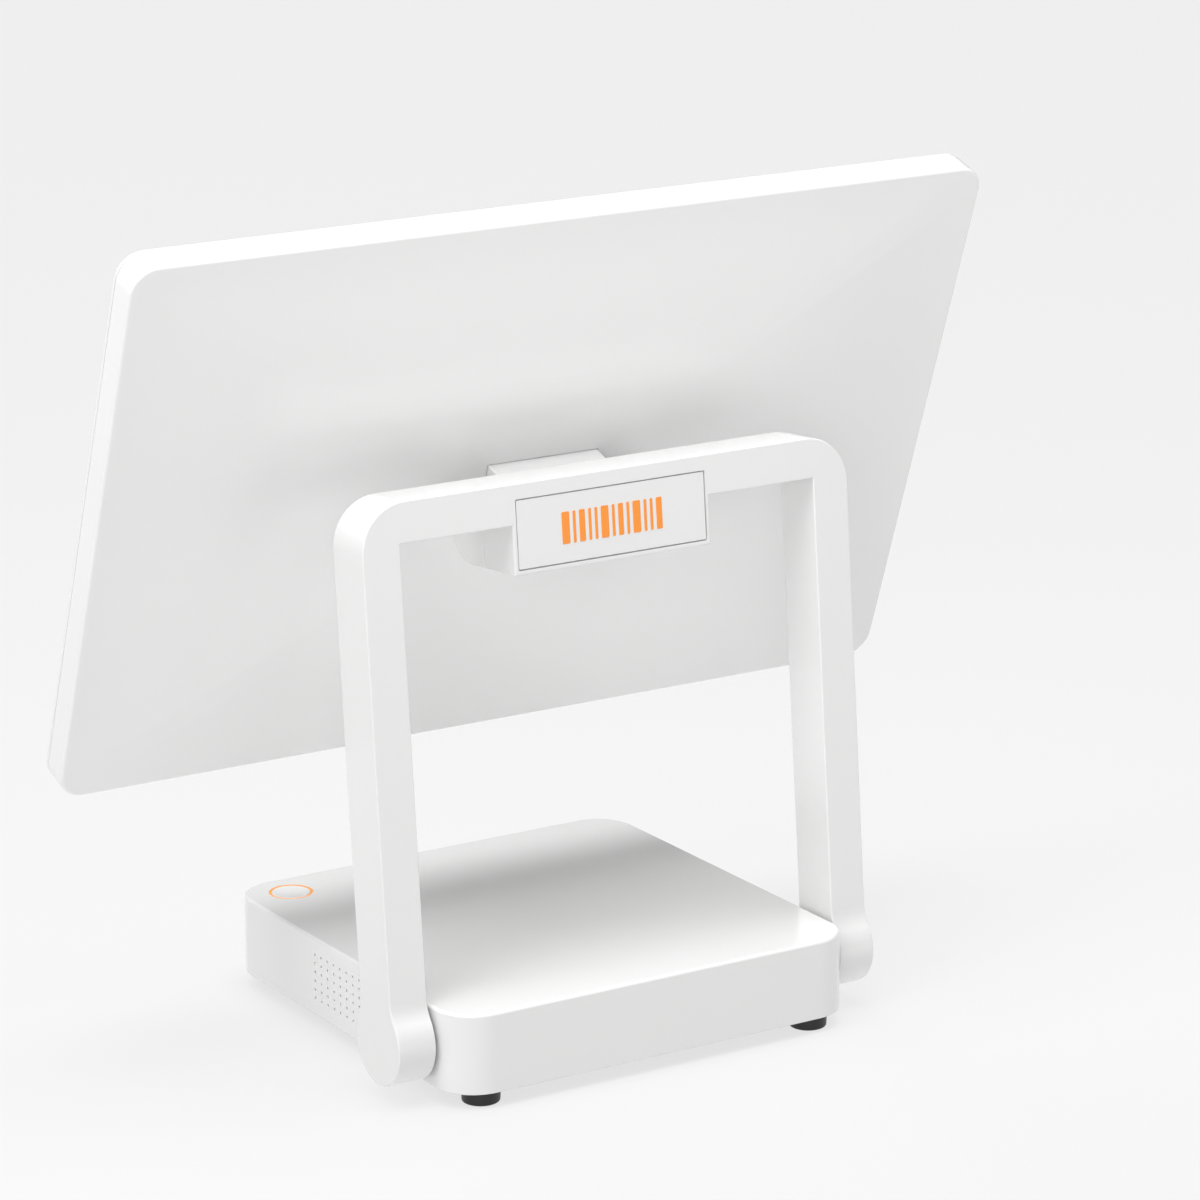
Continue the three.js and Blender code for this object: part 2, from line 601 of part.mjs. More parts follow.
// How far the back cover stands out behind its rim, at a distance in from its edge.
function crownRise(inset) {
  const { rim, rise, reach, steepness } = CROWN;
  return rise * (1 - Math.exp(-((Math.max(inset - rim, 0) / reach) ** steepness)));
}

function rearCover() {
  const { front, trim, back, wall, edge } = DISPLAY;
  const low = front + trim + GAP;
  const outside = displayLoft([
    displayRing(0, low), displayRing(0, back - edge), displayRing(0.3 * edge, back - 0.3 * edge),
    ...CROWN.rings.map((inset) => displayRing(inset, back + crownRise(inset))),
  ]);
  const inside = displayLoft([
    displayRing(wall, low - 1), displayRing(wall, back - wall - 0.6),
    ...CROWN.rings.slice(1).map((inset) => displayRing(inset + 1, back + crownRise(inset) - wall)),
  ]);
  const neckHole = block([-NECK.half - GAP, NECK.half + GAP], [back - wall - 4, back + 2 * CROWN.rise],
    [-NECK.radius - GAP, NECK.radius + GAP]);
  return cut(outside, [inside, neckHole]);
}

function frontTrim() {
  const y = [DISPLAY.front, DISPLAY.front + DISPLAY.trim];
  const opening = panel(displayShape(GLASS.inset - GAP), [y[0] - 1, y[1] + 1]);
  return panel(displayShape(0), y).subtract(opening);
}

function panelFrame() {
  const { half, sheet, front, z, rail } = PANEL_FRAME;
  const y = [front, middle(sheet)];
  const plates = [
    block([-half, half], sheet, z),
    block([-half, rail - half], y, z), block([half - rail, half], y, z),
    block([-half, half], y, [z[0], z[0] + rail]), block([-half, half], y, [z[1] - rail, z[1]]),
  ];
  return cut(join(plates), bracketScrewHoles());
}

const bracketScrewPlaces =
  [-1, 1].flatMap((sx) => [-1, 1].map((sz) => [sx * BRACKET_SCREW.x, sz * BRACKET_SCREW.z]));
const bracketScrewHoles = () =>
  bracketScrewPlaces.map(([x, z]) => rodY(BRACKET_SCREW.hole, x, [-FAR, 0], z, 12));

// The steel arm inside the neck: a plate screwed to the panel frame, and a knuckle on the tilt shaft.
function neckBracket() {
  const plate = block([-NECK_PLATE.half, NECK_PLATE.half], NECK_PLATE.y,
    [-NECK_PLATE.height, NECK_PLATE.height]);
  const x = [-NECK_ARM.half, NECK_ARM.half];
  const arm = block(x, NECK_ARM.y, [-NECK_ARM.thick, NECK_ARM.thick]);
  const knuckle = rodX(NECK_ARM.knuckle, x, 0, 0);
  const shaftHole = rodX(HINGE.shaft + GAP, [-FAR, FAR], 0, 0, 16);
  return cut(join([plate, arm, knuckle]), [shaftHole, ...bracketScrewHoles()]);
}

// The neck's profile seen from the side: a slab with a round end on the tilt axis.
function neckShape(inset, front) {
  const radius = NECK.radius - inset;
  const shape = new THREE.Shape();
  shape.moveTo(front, -radius);
  shape.lineTo(0, -radius);
  shape.absarc(0, 0, radius, -Math.PI / 2, Math.PI / 2);
  shape.lineTo(front, radius);
  shape.closePath();
  return shape;
}

function neckCover() {
  const { half, wall, front } = NECK;
  const outside = prism(neckShape(0, front), [-half, half]);
  const inside = prism(neckShape(wall, front - 1), [wall - half, half - wall]);
  return cut(outside, [inside, rodX(HINGE.shaft + GAP, [-FAR, FAR], 0, 0, 16)]);
}

function bracketScrew(x, z) {
  const { head, headY, shank, tip } = BRACKET_SCREW;
  return rodY(head, x, headY, z, 12).add(rodY(shank, x, [tip, middle(headY)], z, 12));
}

function makeDisplay() {
  const display = new THREE.Group();
  display.position.set(0, HINGE.y, HINGE.z);
  display.rotation.x = -THREE.MathUtils.degToRad(DISPLAY.tilt + STAND.lean);
  display.add(piece("rear_cover", WHITE, rearCover()));
  display.add(piece("front_trim", WHITE, frontTrim()));
  const glassFront = DISPLAY.front + GLASS.setBack;
  display.add(piece("touch_glass", SCREEN,
    panel(displayShape(GLASS.inset), [glassFront, glassFront + GLASS.thick])));
  display.add(piece("lcd_panel", BLACK, block([-LCD.half, LCD.half], LCD.y, LCD.z)));
  display.add(piece("panel_frame", STEEL, panelFrame()));
  display.add(piece("driver_board", GREEN,
    join([DRIVER_BOARD, ...DRIVER_CHIPS].map(({ x, y, z }) => block(x, y, z)))));
  display.add(piece("touch_controller", GREEN, block(TOUCH_BOARD.x, TOUCH_BOARD.y, TOUCH_BOARD.z)));
  display.add(piece("neck_bracket", STEEL, neckBracket()));
  display.add(piece("neck_cover", WHITE, neckCover()));
  display.add(piece("tilt_shaft", STEEL, rodX(HINGE.shaft, [-HINGE.shaftHalf, HINGE.shaftHalf], 0, 0, 16)));
  bracketScrewPlaces.forEach(([x, z], i) => {
    display.add(piece(`bracket_screw_${i + 1}`, STEEL, bracketScrew(x, z)));
  });
  return display;
}

// ---- Assembly ----

const terminal = new THREE.Group();
const stand = makeStand();
stand.add(makeDisplay());
terminal.add(makeBase(), stand);

export default terminal;
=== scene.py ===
"""Looks of a point-of-sale touchscreen terminal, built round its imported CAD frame.

Everything is in metres, in the frame of the CAD model: +Z up, the operator at -Y, and +X at the
operator's right. Pieces of the arch are drawn in the arch's own frame, whose origin is on the axis of
its two hinge discs, and pieces of the display in the display's own frame, on the tilt axis.
"""

import json
import math

import bmesh
import bpy
from mathutils import Matrix, Vector


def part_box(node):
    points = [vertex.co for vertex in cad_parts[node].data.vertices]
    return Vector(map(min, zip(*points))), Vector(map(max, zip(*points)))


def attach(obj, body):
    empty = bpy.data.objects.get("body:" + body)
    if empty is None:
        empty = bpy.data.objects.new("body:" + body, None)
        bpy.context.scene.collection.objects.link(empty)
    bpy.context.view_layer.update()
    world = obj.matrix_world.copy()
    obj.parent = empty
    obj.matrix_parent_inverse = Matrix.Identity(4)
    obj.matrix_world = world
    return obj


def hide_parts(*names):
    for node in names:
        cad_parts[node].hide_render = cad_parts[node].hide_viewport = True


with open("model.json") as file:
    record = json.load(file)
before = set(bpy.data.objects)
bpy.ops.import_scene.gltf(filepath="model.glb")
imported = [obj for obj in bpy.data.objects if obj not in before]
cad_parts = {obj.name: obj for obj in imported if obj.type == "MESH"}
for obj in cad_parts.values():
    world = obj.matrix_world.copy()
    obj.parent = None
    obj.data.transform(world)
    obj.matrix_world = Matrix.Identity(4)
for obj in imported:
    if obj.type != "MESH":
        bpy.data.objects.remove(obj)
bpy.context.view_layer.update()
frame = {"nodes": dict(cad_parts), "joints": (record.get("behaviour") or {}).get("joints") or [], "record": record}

MM = 0.001
GAP = 0.3 * MM

JOINTS = {joint["name"]: joint for joint in frame["joints"]}
STAND_PIVOT = Vector(JOINTS["stand_tilt"]["pos_m"])
TILT_PIVOT = Vector(JOINTS["display_tilt"]["pos_m"])
LEAN = math.radians(4.904)
TILT = math.radians(19.655)
BASE_FRAME = Matrix.Identity(4)
STAND_FRAME = Matrix.Translation(STAND_PIVOT) @ Matrix.Rotation(LEAN, 4, "X")
DISPLAY_FRAME = Matrix.Translation(TILT_PIVOT) @ Matrix.Rotation(-TILT, 4, "X")


# ---- Camera, lights and floor ----

CAMERA_TARGET = Vector((-0.02796, 0.00296, 0.16451))
CAMERA_ANGLES = (148.0194, 15.4445, -0.2742)  # azimuth, elevation and roll, degrees
CAMERA_DISTANCE = 1.91191
CAMERA_LENS = 144.343
SENSOR_WIDTH = 36

LIGHT_AIM = Vector((0, 0, 0.15))
FAR_PANEL_ANGLE = math.radians(36)
FAR_PANELS = [
    # name, azimuth, elevation, strength, seen in gloss
    ("ceiling", 0, 90, 0.85, True),
    ("key", 120, 62, 0.58, True),
    ("left_high", 240, 62, 0.4, True),
    ("front_high", 0, 35, 0.8, False),
    ("left_middle", 260, 35, 0.3, False),
    ("right_wall", 140, 8, 0.85, True),
    ("right_middle", 100, 25, 0.25, True),
    ("front_wall", 0, 8, 0.75, False),
    ("front_left_wall", 300, 8, 0.3, False),
    ("left_wall", 270, 8, 0.35, False),
]
SOFT_BOXES = [
    # name, azimuth, elevation, distance, size, power
    ("key_box", 98, 50, 1.1, 0.6, 4.2),
    ("top_box", 0, 90, 1.2, 0.6, 4.4),
    ("rear_top_box", 180, 64, 0.8, 0.35, 1.4),
    ("rear_box", 175, 30, 0.8, 0.3, 0.35),
]
WORLD_GLOW = 0.02
FLOOR_HALF = 20  # m, so that its edges lie out of sight
FLOOR_GLOW = 0.725


def set_camera():
    """A view from behind the terminal, on the operator's right and a little above it."""
    data = bpy.data.cameras.new("camera")
    data.sensor_width = SENSOR_WIDTH
    data.lens = CAMERA_LENS
    data.clip_end = 100
    camera = bpy.data.objects.new("camera", data)
    bpy.context.scene.collection.objects.link(camera)
    azimuth, elevation, roll = map(math.radians, CAMERA_ANGLES)
    back = Vector((math.sin(azimuth) * math.cos(elevation),
                   -math.cos(azimuth) * math.cos(elevation), math.sin(elevation)))
    right = back.cross(Vector((0, 0, -1))).normalized()
    right.rotate(Matrix.Rotation(roll, 3, back))
    up = back.cross(right)
    turn = Matrix((right, up, back)).transposed().to_4x4()
    camera.matrix_world = Matrix.Translation(CAMERA_TARGET + back * CAMERA_DISTANCE) @ turn
    bpy.context.scene.camera = camera


def from_direction(light, azimuth, elevation):
    """Turns a lamp to shine from a direction, and gives the direction as a vector.

    Azimuth 0 is the operator's side, and 90 their right.
    """
    azimuth, elevation = math.radians(azimuth), math.radians(elevation)
    away = Vector((math.sin(azimuth) * math.cos(elevation),
                   -math.cos(azimuth) * math.cos(elevation), math.sin(elevation)))
    light.rotation_euler = away.to_track_quat("Z", "Y").to_euler()
    bpy.context.scene.collection.objects.link(light)
    return away


def soft_box(name, azimuth, elevation, distance, size, power):
    """A square soft box that faces the terminal from near by."""
    data = bpy.data.lights.new(name, "AREA")
    data.size = size
    data.energy = power
    light = bpy.data.objects.new(name, data)
    light.location = LIGHT_AIM + from_direction(light, azimuth, elevation) * distance


def far_panel(name, azimuth, elevation, strength, glossy):
    """A wide lit wall or ceiling panel so far off that it lights everything evenly, in W/m2."""
    data = bpy.data.lights.new(name, "SUN")
    data.energy = strength
    data.angle = FAR_PANEL_ANGLE
    light = bpy.data.objects.new(name, data)
    light.visible_glossy = glossy
    from_direction(light, azimuth, elevation)


def set_studio():
    scene = bpy.context.scene
    scene.view_settings.view_transform = "Standard"
    world = bpy.data.worlds.new("studio")
    scene.world = world
    world.use_nodes = True
    background = world.node_tree.nodes["Background"]
    background.inputs["Color"].default_value = (1, 1, 1, 1)
    background.inputs["Strength"].default_value = WORLD_GLOW
    for panel in FAR_PANELS:
        far_panel(*panel)
    for box in SOFT_BOXES:
        soft_box(*box)
    corners = [(-1, -1), (1, -1), (1, 1), (-1, 1)]
    floor = mesh_object("floor", [(x * FLOOR_HALF, y * FLOOR_HALF, 0) for x, y in corners], [(0, 1, 2, 3)])
    floor.data.materials.append(lit_floor())


def lit_floor():
    """White paper lit from below, so that shadows on it stay pale."""
    material = plain_material("floor_paper", (0.14, 0.14, 0.14), 0.9)
    shader = material.node_tree.nodes["Principled BSDF"]
    shader.inputs["Specular IOR Level"].default_value = 0.1
    shader.inputs["Emission Color"].default_value = (1, 1, 1, 1)
    shader.inputs["Emission Strength"].default_value = FLOOR_GLOW
    return material


# ---- Materials ----

DISPLAY_CENTRE = -2.3 * MM
PANEL_SIZE = (344.2 * MM, 193.6 * MM)


def new_material(name):
    material = bpy.data.materials.new(name)
    material.use_nodes = True
    nodes = material.node_tree.nodes
    return material, nodes, material.node_tree.links, nodes["Principled BSDF"]


def plain_material(name, color, roughness, metallic=0.0):
    material, _, _, shader = new_material(name)
    shader.inputs["Base Color"].default_value = (*color, 1)
    shader.inputs["Roughness"].default_value = roughness
    shader.inputs["Metallic"].default_value = metallic
    return material


def noise(nodes, links, scale, detail=2.0):
    """A noise texture in the object's own coordinates."""
    place = nodes.new("ShaderNodeTexCoord")
    texture = nodes.new("ShaderNodeTexNoise")
    texture.inputs["Scale"].default_value = scale
    texture.inputs["Detail"].default_value = detail
    links.new(place.outputs["Object"], texture.inputs["Vector"])
    return texture


def spread(nodes, links, texture, low, high):
    """The texture's value mapped from its middle range to low..high."""
    ramp = nodes.new("ShaderNodeMapRange")
    ramp.interpolation_type = "SMOOTHSTEP"
    ramp.inputs["From Min"].default_value = 0.15
    ramp.inputs["From Max"].default_value = 0.85
    ramp.inputs["To Min"].default_value = low
    ramp.inputs["To Max"].default_value = high
    links.new(texture.outputs["Fac"], ramp.inputs["Value"])
    return ramp.outputs["Result"]


def mottled_color(nodes, links, shader, texture, color, share):
    """Base colour that drifts a little between two near shades."""
    mix = nodes.new("ShaderNodeMix")
    mix.data_type = "RGBA"
    mix.inputs["A"].default_value = (*[c * (1 - share) for c in color], 1)
    mix.inputs["B"].default_value = (*[min(1, c * (1 + share)) for c in color], 1)
    links.new(spread(nodes, links, texture, 0, 1), mix.inputs["Factor"])
    links.new(mix.outputs["Result"], shader.inputs["Base Color"])


def bump(nodes, links, shader, texture, depth):
    node = nodes.new("ShaderNodeBump")
    node.inputs["Strength"].default_value = 0.6
    node.inputs["Distance"].default_value = depth
    links.new(texture.outputs["Fac"], node.inputs["Height"])
    links.new(node.outputs["Normal"], shader.inputs["Normal"])


def moulded(name, color, roughness, grain=2600, depth=0.02 * MM, share=0.012, coat=0.0):
    """Moulded plastic or rubber: a fine spark-eroded grain, with slow drifts of shade and gloss."""
    material, nodes, links, shader = new_material(name)
    mottled_color(nodes, links, shader, noise(nodes, links, 14), color, share)
    gloss = spread(nodes, links, noise(nodes, links, 45), roughness - 0.012, roughness + 0.012)
    links.new(gloss, shader.inputs["Roughness"])
    bump(nodes, links, shader, noise(nodes, links, grain, 3), depth)
    shader.inputs["Coat Weight"].default_value = coat
    shader.inputs["Coat Roughness"].default_value = 0.14
    return material


def brushed(name, color, roughness):
    """Plated or bare metal with fine lines along X."""
    material, nodes, links, shader = new_material(name)
    shader.inputs["Metallic"].default_value = 1.0
    lines = noise(nodes, links, 900, 3)
    stretch = nodes.new("ShaderNodeMapping")
    stretch.inputs["Scale"].default_value = (0.04, 1, 1)
    source = lines.inputs["Vector"].links[0].from_socket
    links.new(source, stretch.inputs["Vector"])
    links.new(stretch.outputs["Vector"], lines.inputs["Vector"])
    mottled_color(nodes, links, shader, lines, color, 0.08)
    links.new(spread(nodes, links, lines, roughness - 0.08, roughness + 0.08), shader.inputs["Roughness"])
    bump(nodes, links, shader, lines, 0.01 * MM)
    return material


def glowing(name, color, glow, strength):
    """A frosted light guide with a lamp inside it: moulded plastic that is lit a little from within."""
    material = moulded(name, color, 0.35, 900, 0.02 * MM, 0.05)
    shader = material.node_tree.nodes["Principled BSDF"]
    shader.inputs["Emission Color"].default_value = (*glow, 1)
    shader.inputs["Emission Strength"].default_value = strength
    return material


def inside(nodes, links, value, half, blur):
    """A factor that is 1 where the value's size is under half, and 0 past it."""
    size = nodes.new("ShaderNodeMath")
    size.operation = "ABSOLUTE"
    links.new(value, size.inputs[0])
    ramp = nodes.new("ShaderNodeMapRange")
    ramp.inputs["From Min"].default_value = half - blur
    ramp.inputs["From Max"].default_value = half
    ramp.inputs["To Min"].default_value = 1
    ramp.inputs["To Max"].default_value = 0
    links.new(size.outputs["Value"], ramp.inputs["Value"])
    return ramp.outputs["Result"]


def screen_material():
    """Cover glass: a black printed border round the slightly lighter panel, with faint finger smears."""
    material, nodes, links, shader = new_material("screen_glass")
    place = nodes.new("ShaderNodeTexCoord")
    local = nodes.new("ShaderNodeMapping")
    local.vector_type = "TEXTURE"
    local.inputs["Location"].default_value = DISPLAY_FRAME @ Vector((0, 0, DISPLAY_CENTRE))
    local.inputs["Rotation"].default_value = (-TILT, 0, 0)
    links.new(place.outputs["Object"], local.inputs["Vector"])
    parts = nodes.new("ShaderNodeSeparateXYZ")
    links.new(local.outputs["Vector"], parts.inputs["Vector"])
    panel = nodes.new("ShaderNodeMath")
    panel.operation = "MULTIPLY"
    links.new(inside(nodes, links, parts.outputs["X"], PANEL_SIZE[0] / 2, 0.2 * MM), panel.inputs[0])
    links.new(inside(nodes, links, parts.outputs["Z"], PANEL_SIZE[1] / 2, 0.2 * MM), panel.inputs[1])
    mix = nodes.new("ShaderNodeMix")
    mix.data_type = "RGBA"
    mix.inputs["A"].default_value = (0.005, 0.005, 0.006, 1)
    mix.inputs["B"].default_value = (0.019, 0.021, 0.025, 1)
    links.new(panel.outputs["Value"], mix.inputs["Factor"])
    links.new(mix.outputs["Result"], shader.inputs["Base Color"])
    smears = noise(nodes, links, 22, 4)
    smears.inputs["Distortion"].default_value = 1.5
    links.new(spread(nodes, links, smears, 0.05, 0.12), shader.inputs["Roughness"])
    return material


# ---- Meshes ----

WELD = 0.005 * MM
AXIS_RADIUS = 0.001 * MM
AXES = {
    "X": lambda a, b, along: (along, a, b),
    "Y": lambda a, b, along: (b, along, a),
    "Z": lambda a, b, along: (a, b, along),
}


def mesh_object(name, vertices, faces):
    mesh = bpy.data.meshes.new(name)
    mesh.from_pydata([tuple(v) for v in vertices], [], faces)
    mesh.update()
    piece = bpy.data.objects.new(name, mesh)
    bpy.context.scene.collection.objects.link(piece)
    return piece


def loft(name, rings):
    """The closed skin over rings of equal length, each counter-clockwise seen from where they go."""
    count = len(rings[0])
    vertices = [point for ring in rings for point in ring]
    faces = [tuple(reversed(range(count))), tuple(range(len(vertices) - count, len(vertices)))]
    for level in range(0, len(vertices) - count, count):
        for i in range(count):
            j = (i + 1) % count
            faces.append((level + i, level + j, level + count + j, level + count + i))
    return mesh_object(name, vertices, faces)


def turned(name, profile, x, y, steps=64):
    """A profile of (radius, z) points, from the axis's foot to its top, turned about a vertical axis."""
    rings = []
    for radius, z in profile:
        radius = max(radius, AXIS_RADIUS)
        angles = [2 * math.pi * i / steps for i in range(steps)]
        rings.append([(x + radius * math.cos(a), y + radius * math.sin(a), z) for a in angles])
    return weld(loft(name, rings))


def weld(piece):
    """Joins points that fall on each other, such as those of a ring on its axis."""
    build = bmesh.new()
    build.from_mesh(piece.data)
    bmesh.ops.remove_doubles(build, verts=build.verts, dist=WELD)
    bmesh.ops.dissolve_degenerate(build, edges=build.edges, dist=1e-7)
    build.to_mesh(piece.data)
    build.free()
    return piece


def prism(name, outline, axis, low, high):
    """A counter-clockwise outline made long along an axis.

    Its points are (y, z) for X, (z, x) for Y, and (x, y) for Z.
    """
    place = AXES[axis]
    return loft(name, [[place(a, b, along) for a, b in outline] for along in (low, high)])


def swap(outline):
    """Turns (x, z) points, counter-clockwise with z up, into the (z, x) points of a prism along Y."""
    return [(z, x) for x, z in reversed(outline)]


def slab(name, x, y, z):
    outline = [(x[0], y[0]), (x[1], y[0]), (x[1], y[1]), (x[0], y[1])]
    return prism(name, outline, "Z", *z)


def mirrored(side, near, far):
    """The span from near to far on the +X side, or its mirror image on the -X side, lowest first."""
    return sorted((side * near, side * far))


def circle(a, b, radius, steps=48):
    turns = [2 * math.pi * i / steps for i in range(steps)]
    return [(a + radius * math.cos(t), b + radius * math.sin(t)) for t in turns]


def arc(a, b, radius, start, end, steps):
    """Points on an arc, ends included, with angles in radians."""
    turns = [start + (end - start) * i / steps for i in range(steps + 1)]
    return [(a + radius * math.cos(t), b + radius * math.sin(t)) for t in turns]


def rounded(width, height, radius, steps=12, centre=(0, 0)):
    """A counter-clockwise rounded rectangle of 4 * (steps + 1) points."""
    points = []
    for quarter, (sx, sy) in enumerate([(1, 1), (-1, 1), (-1, -1), (1, -1)]):
        a = centre[0] + sx * (width / 2 - radius)
        b = centre[1] + sy * (height / 2 - radius)
        points += arc(a, b, radius, quarter * math.pi / 2, (quarter + 1) * math.pi / 2, steps)
    return points


def take(piece):
    """Applies the piece's modifiers to its mesh."""
    graph = bpy.context.evaluated_depsgraph_get()
    mesh = bpy.data.meshes.new_from_object(piece.evaluated_get(graph))
    piece.modifiers.clear()
    piece.data = mesh
    return piece


def boolean(piece, tools, operation="DIFFERENCE"):
    """Cuts the tools from the piece, or joins or intersects them with it, and removes them."""
    for tool in tools:
        step = piece.modifiers.new("boolean", "BOOLEAN")
        step.operation = operation
        step.solver = "EXACT"
        step.object = tool
    take(piece)
    for tool in tools:
        bpy.data.objects.remove(tool)
    return piece


def merged(name, parts):
    """One mesh object holding several that don't touch."""
    build = bmesh.new()
    for part in parts:
        build.from_mesh(part.data)
        bpy.data.objects.remove(part)
    mesh = bpy.data.meshes.new(name)
    build.to_mesh(mesh)
    build.free()
    piece = bpy.data.objects.new(name, mesh)
    bpy.context.scene.collection.objects.link(piece)
    return piece


def bevel(piece, width, segments=3, angle=40):
    step = piece.modifiers.new("bevel", "BEVEL")
    step.width = width
    step.segments = segments
    step.limit_method = "ANGLE"
    step.angle_limit = math.radians(angle)
    step.use_clamp_overlap = True
    return take(piece)


def finish_piece(piece, body, material, replaced=(), place=BASE_FRAME, angle=32):
    """Puts a piece in place, shades it, gives it its body and material, and hides the CAD nodes it replaces."""
    piece.data.transform(place)
    mesh = piece.data
    mesh.materials.clear()
    mesh.materials.append(material)
    for face in mesh.polygons:
        face.use_smooth = True
    mesh.set_sharp_from_angle(angle=math.radians(angle))
    normals = piece.modifiers.new("normals", "WEIGHTED_NORMAL")
    normals.keep_sharp = True
    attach(piece, body)
    if replaced:
        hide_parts(*replaced)
    return piece


# ---- Base ----

BASE_LOW, BASE_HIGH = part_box("base_top_cover")
BASE_SIZE = BASE_HIGH - BASE_LOW
BASE_CORNER = 17 * MM
BASE_EDGE = 1.3 * MM
BASE_FOOT_EDGE = 0.6 * MM
BASE_WALL = 2.5 * MM
CUT = 4 * MM  # how far in from an outer face a cutter reaches, past the wall
THROUGH = 100 * MM  # past both sides of the base
SHAFT_HOLE = 5.6 * MM
GRILLE_ROWS, GRILLE_COLUMNS = 6, 11
GRILLE_FIRST = (-20 * MM, 13.3 * MM)  # y, z
GRILLE_PITCH = (5.1 * MM, 3.65 * MM)
GRILLE_HOLE = 0.6 * MM
WINDOW_CORNER = 0.6 * MM
PORTS = ["dc_jack", "lan_port", "usb_port_1", "usb_port_2", "drawer_port"]
BUTTON_LOW, BUTTON_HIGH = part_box("power_button")
BUTTON = (BUTTON_LOW + BUTTON_HIGH) / 2
BUTTON_RADIUS = (BUTTON_HIGH.x - BUTTON_LOW.x) / 2
RING_OUTER = BUTTON_RADIUS + MM
RING_INNER = RING_OUTER - 0.85 * MM
RING_ROUND = 0.15 * MM
RING_SEAM = 0.08 * MM
BUTTON_SEAM = 0.06 * MM
BUTTON_EDGE = 0.35 * MM
BUTTON_DISH = 0.35 * MM
BUTTON_STEM = 3 * MM
BUTTON_CAP_BOTTOM = 35.6 * MM


def base_ring(inset, z):
    outline = rounded(BASE_SIZE.x - 2 * inset, BASE_SIZE.y - 2 * inset, BASE_CORNER - inset, 20)
    return [(x, y, z) for x, y in outline]


def grille_cutters():
    holes = []
    for row in range(GRILLE_ROWS):
        for column in range(GRILLE_COLUMNS):
            y = GRILLE_FIRST[0] + GRILLE_PITCH[0] * column
            z = GRILLE_FIRST[1] + GRILLE_PITCH[1] * row
            outline = circle(y, z, GRILLE_HOLE, 14)
            holes.append(prism("hole", outline, "X", BASE_HIGH.x - CUT, BASE_HIGH.x + MM))
    return merged("grille_cutters", holes)


def port_cutter(node):
    low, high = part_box(node)
    width, height = high.y - low.y + 2 * GAP, high.z - low.z + 2 * GAP
    centre = ((low.y + high.y) / 2, (low.z + high.z) / 2)
    outline = rounded(width, height, WINDOW_CORNER, 4, centre)
    return prism("window", outline, "X", BASE_LOW.x - MM, BASE_LOW.x + CUT)


def make_base_cover(white):
    bottom, top = BASE_LOW.z, BASE_HIGH.z
    rings = [base_ring(BASE_WALL, top - BASE_WALL), base_ring(BASE_WALL, bottom)]
    for inset, z in arc(-BASE_FOOT_EDGE, bottom + BASE_FOOT_EDGE, BASE_FOOT_EDGE, -math.pi / 2, 0, 4):
        rings.append(base_ring(-inset, z))
    for inset, z in arc(-BASE_EDGE, top - BASE_EDGE, BASE_EDGE, 0, math.pi / 2, 8):
        rings.append(base_ring(-inset, z))
    cover = loft("base_shell", rings)
    shaft = prism("shaft_hole", circle(STAND_PIVOT.y, STAND_PIVOT.z, SHAFT_HOLE), "X", -THROUGH, THROUGH)
    hole = prism("button_hole", circle(BUTTON.x, BUTTON.y, RING_OUTER + RING_SEAM, 72), "Z",
                 top - CUT, top + MM)
    boolean(cover, [shaft, hole, grille_cutters(), *[port_cutter(node) for node in PORTS]])
    finish_piece(cover, "base", white, ["base_top_cover"])


def make_button(white):
    top, edge = BASE_HIGH.z, BUTTON_EDGE
    radius = RING_INNER - BUTTON_SEAM
    profile = [(0, BUTTON_LOW.z), (BUTTON_STEM, BUTTON_LOW.z), (BUTTON_STEM, BUTTON_CAP_BOTTOM)]
    profile += [(BUTTON_RADIUS, BUTTON_CAP_BOTTOM), (BUTTON_RADIUS, top - MM)]
    profile += arc(radius - edge, top - edge, edge, 0, math.pi / 2, 4)
    for share in (0.9, 0.75, 0.6, 0.45, 0.3, 0.15, 0):
        profile.append((share * radius, top - BUTTON_DISH * (1 - share * share)))
    button = turned("button_cap", profile, BUTTON.x, BUTTON.y, 72)
    finish_piece(button, "button", white, ["power_button"])


def make_light_ring(orange):
    top, curve = BASE_HIGH.z, RING_ROUND
    section = [(RING_INNER, top - CUT), (RING_OUTER, top - CUT)]
    section += arc(RING_OUTER - curve, top - curve, curve, 0, math.pi / 2, 3)
    section += arc(RING_INNER + curve, top - curve, curve, math.pi / 2, math.pi, 3)
    ring = hoop("light_ring", section, BUTTON.x, BUTTON.y)
    finish_piece(ring, "base", orange, ["button_light_ring"])


def hoop(name, section, x, y, steps=96):
    """A closed section of (radius, z) points, turned about a vertical axis that it doesn't touch."""
    count = len(section)
    vertices, faces = [], []
    for i in range(steps):
        a = 2 * math.pi * i / steps
        vertices += [(x + r * math.cos(a), y + r * math.sin(a), z) for r, z in section]
        for j in range(count):
            k = (j + 1) % count
            m = (i + 1) % steps
            faces.append((i * count + j, m * count + j, m * count + k, i * count + k))
    return mesh_object(name, vertices, faces)


def make_feet(rubber):
    edge, taper, hollow = 0.9 * MM, 0.2 * MM, 0.25 * MM
    for node in ("foot_front_left", "foot_front_right", "foot_rear_left", "foot_rear_right"):
        low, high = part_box(node)
        centre, radius, top = (low + high) / 2, (high.x - low.x) / 2, high.z
        profile = [(0, hollow), (radius * 0.55, hollow), (radius * 0.62, 0)]
        profile += arc(radius - edge - taper, edge, edge, -math.pi / 2, 0, 5)
        profile += [(radius, top - 1.2 * MM), (radius - 0.5 * MM, top - 0.4 * MM)]
        profile += [(radius - 0.8 * MM, top), (0, top)]
        foot = turned(node.replace("foot", "rubber_foot"), profile, centre.x, centre.y, 56)
        finish_piece(foot, "base", rubber, [node])


# ---- Underside ----

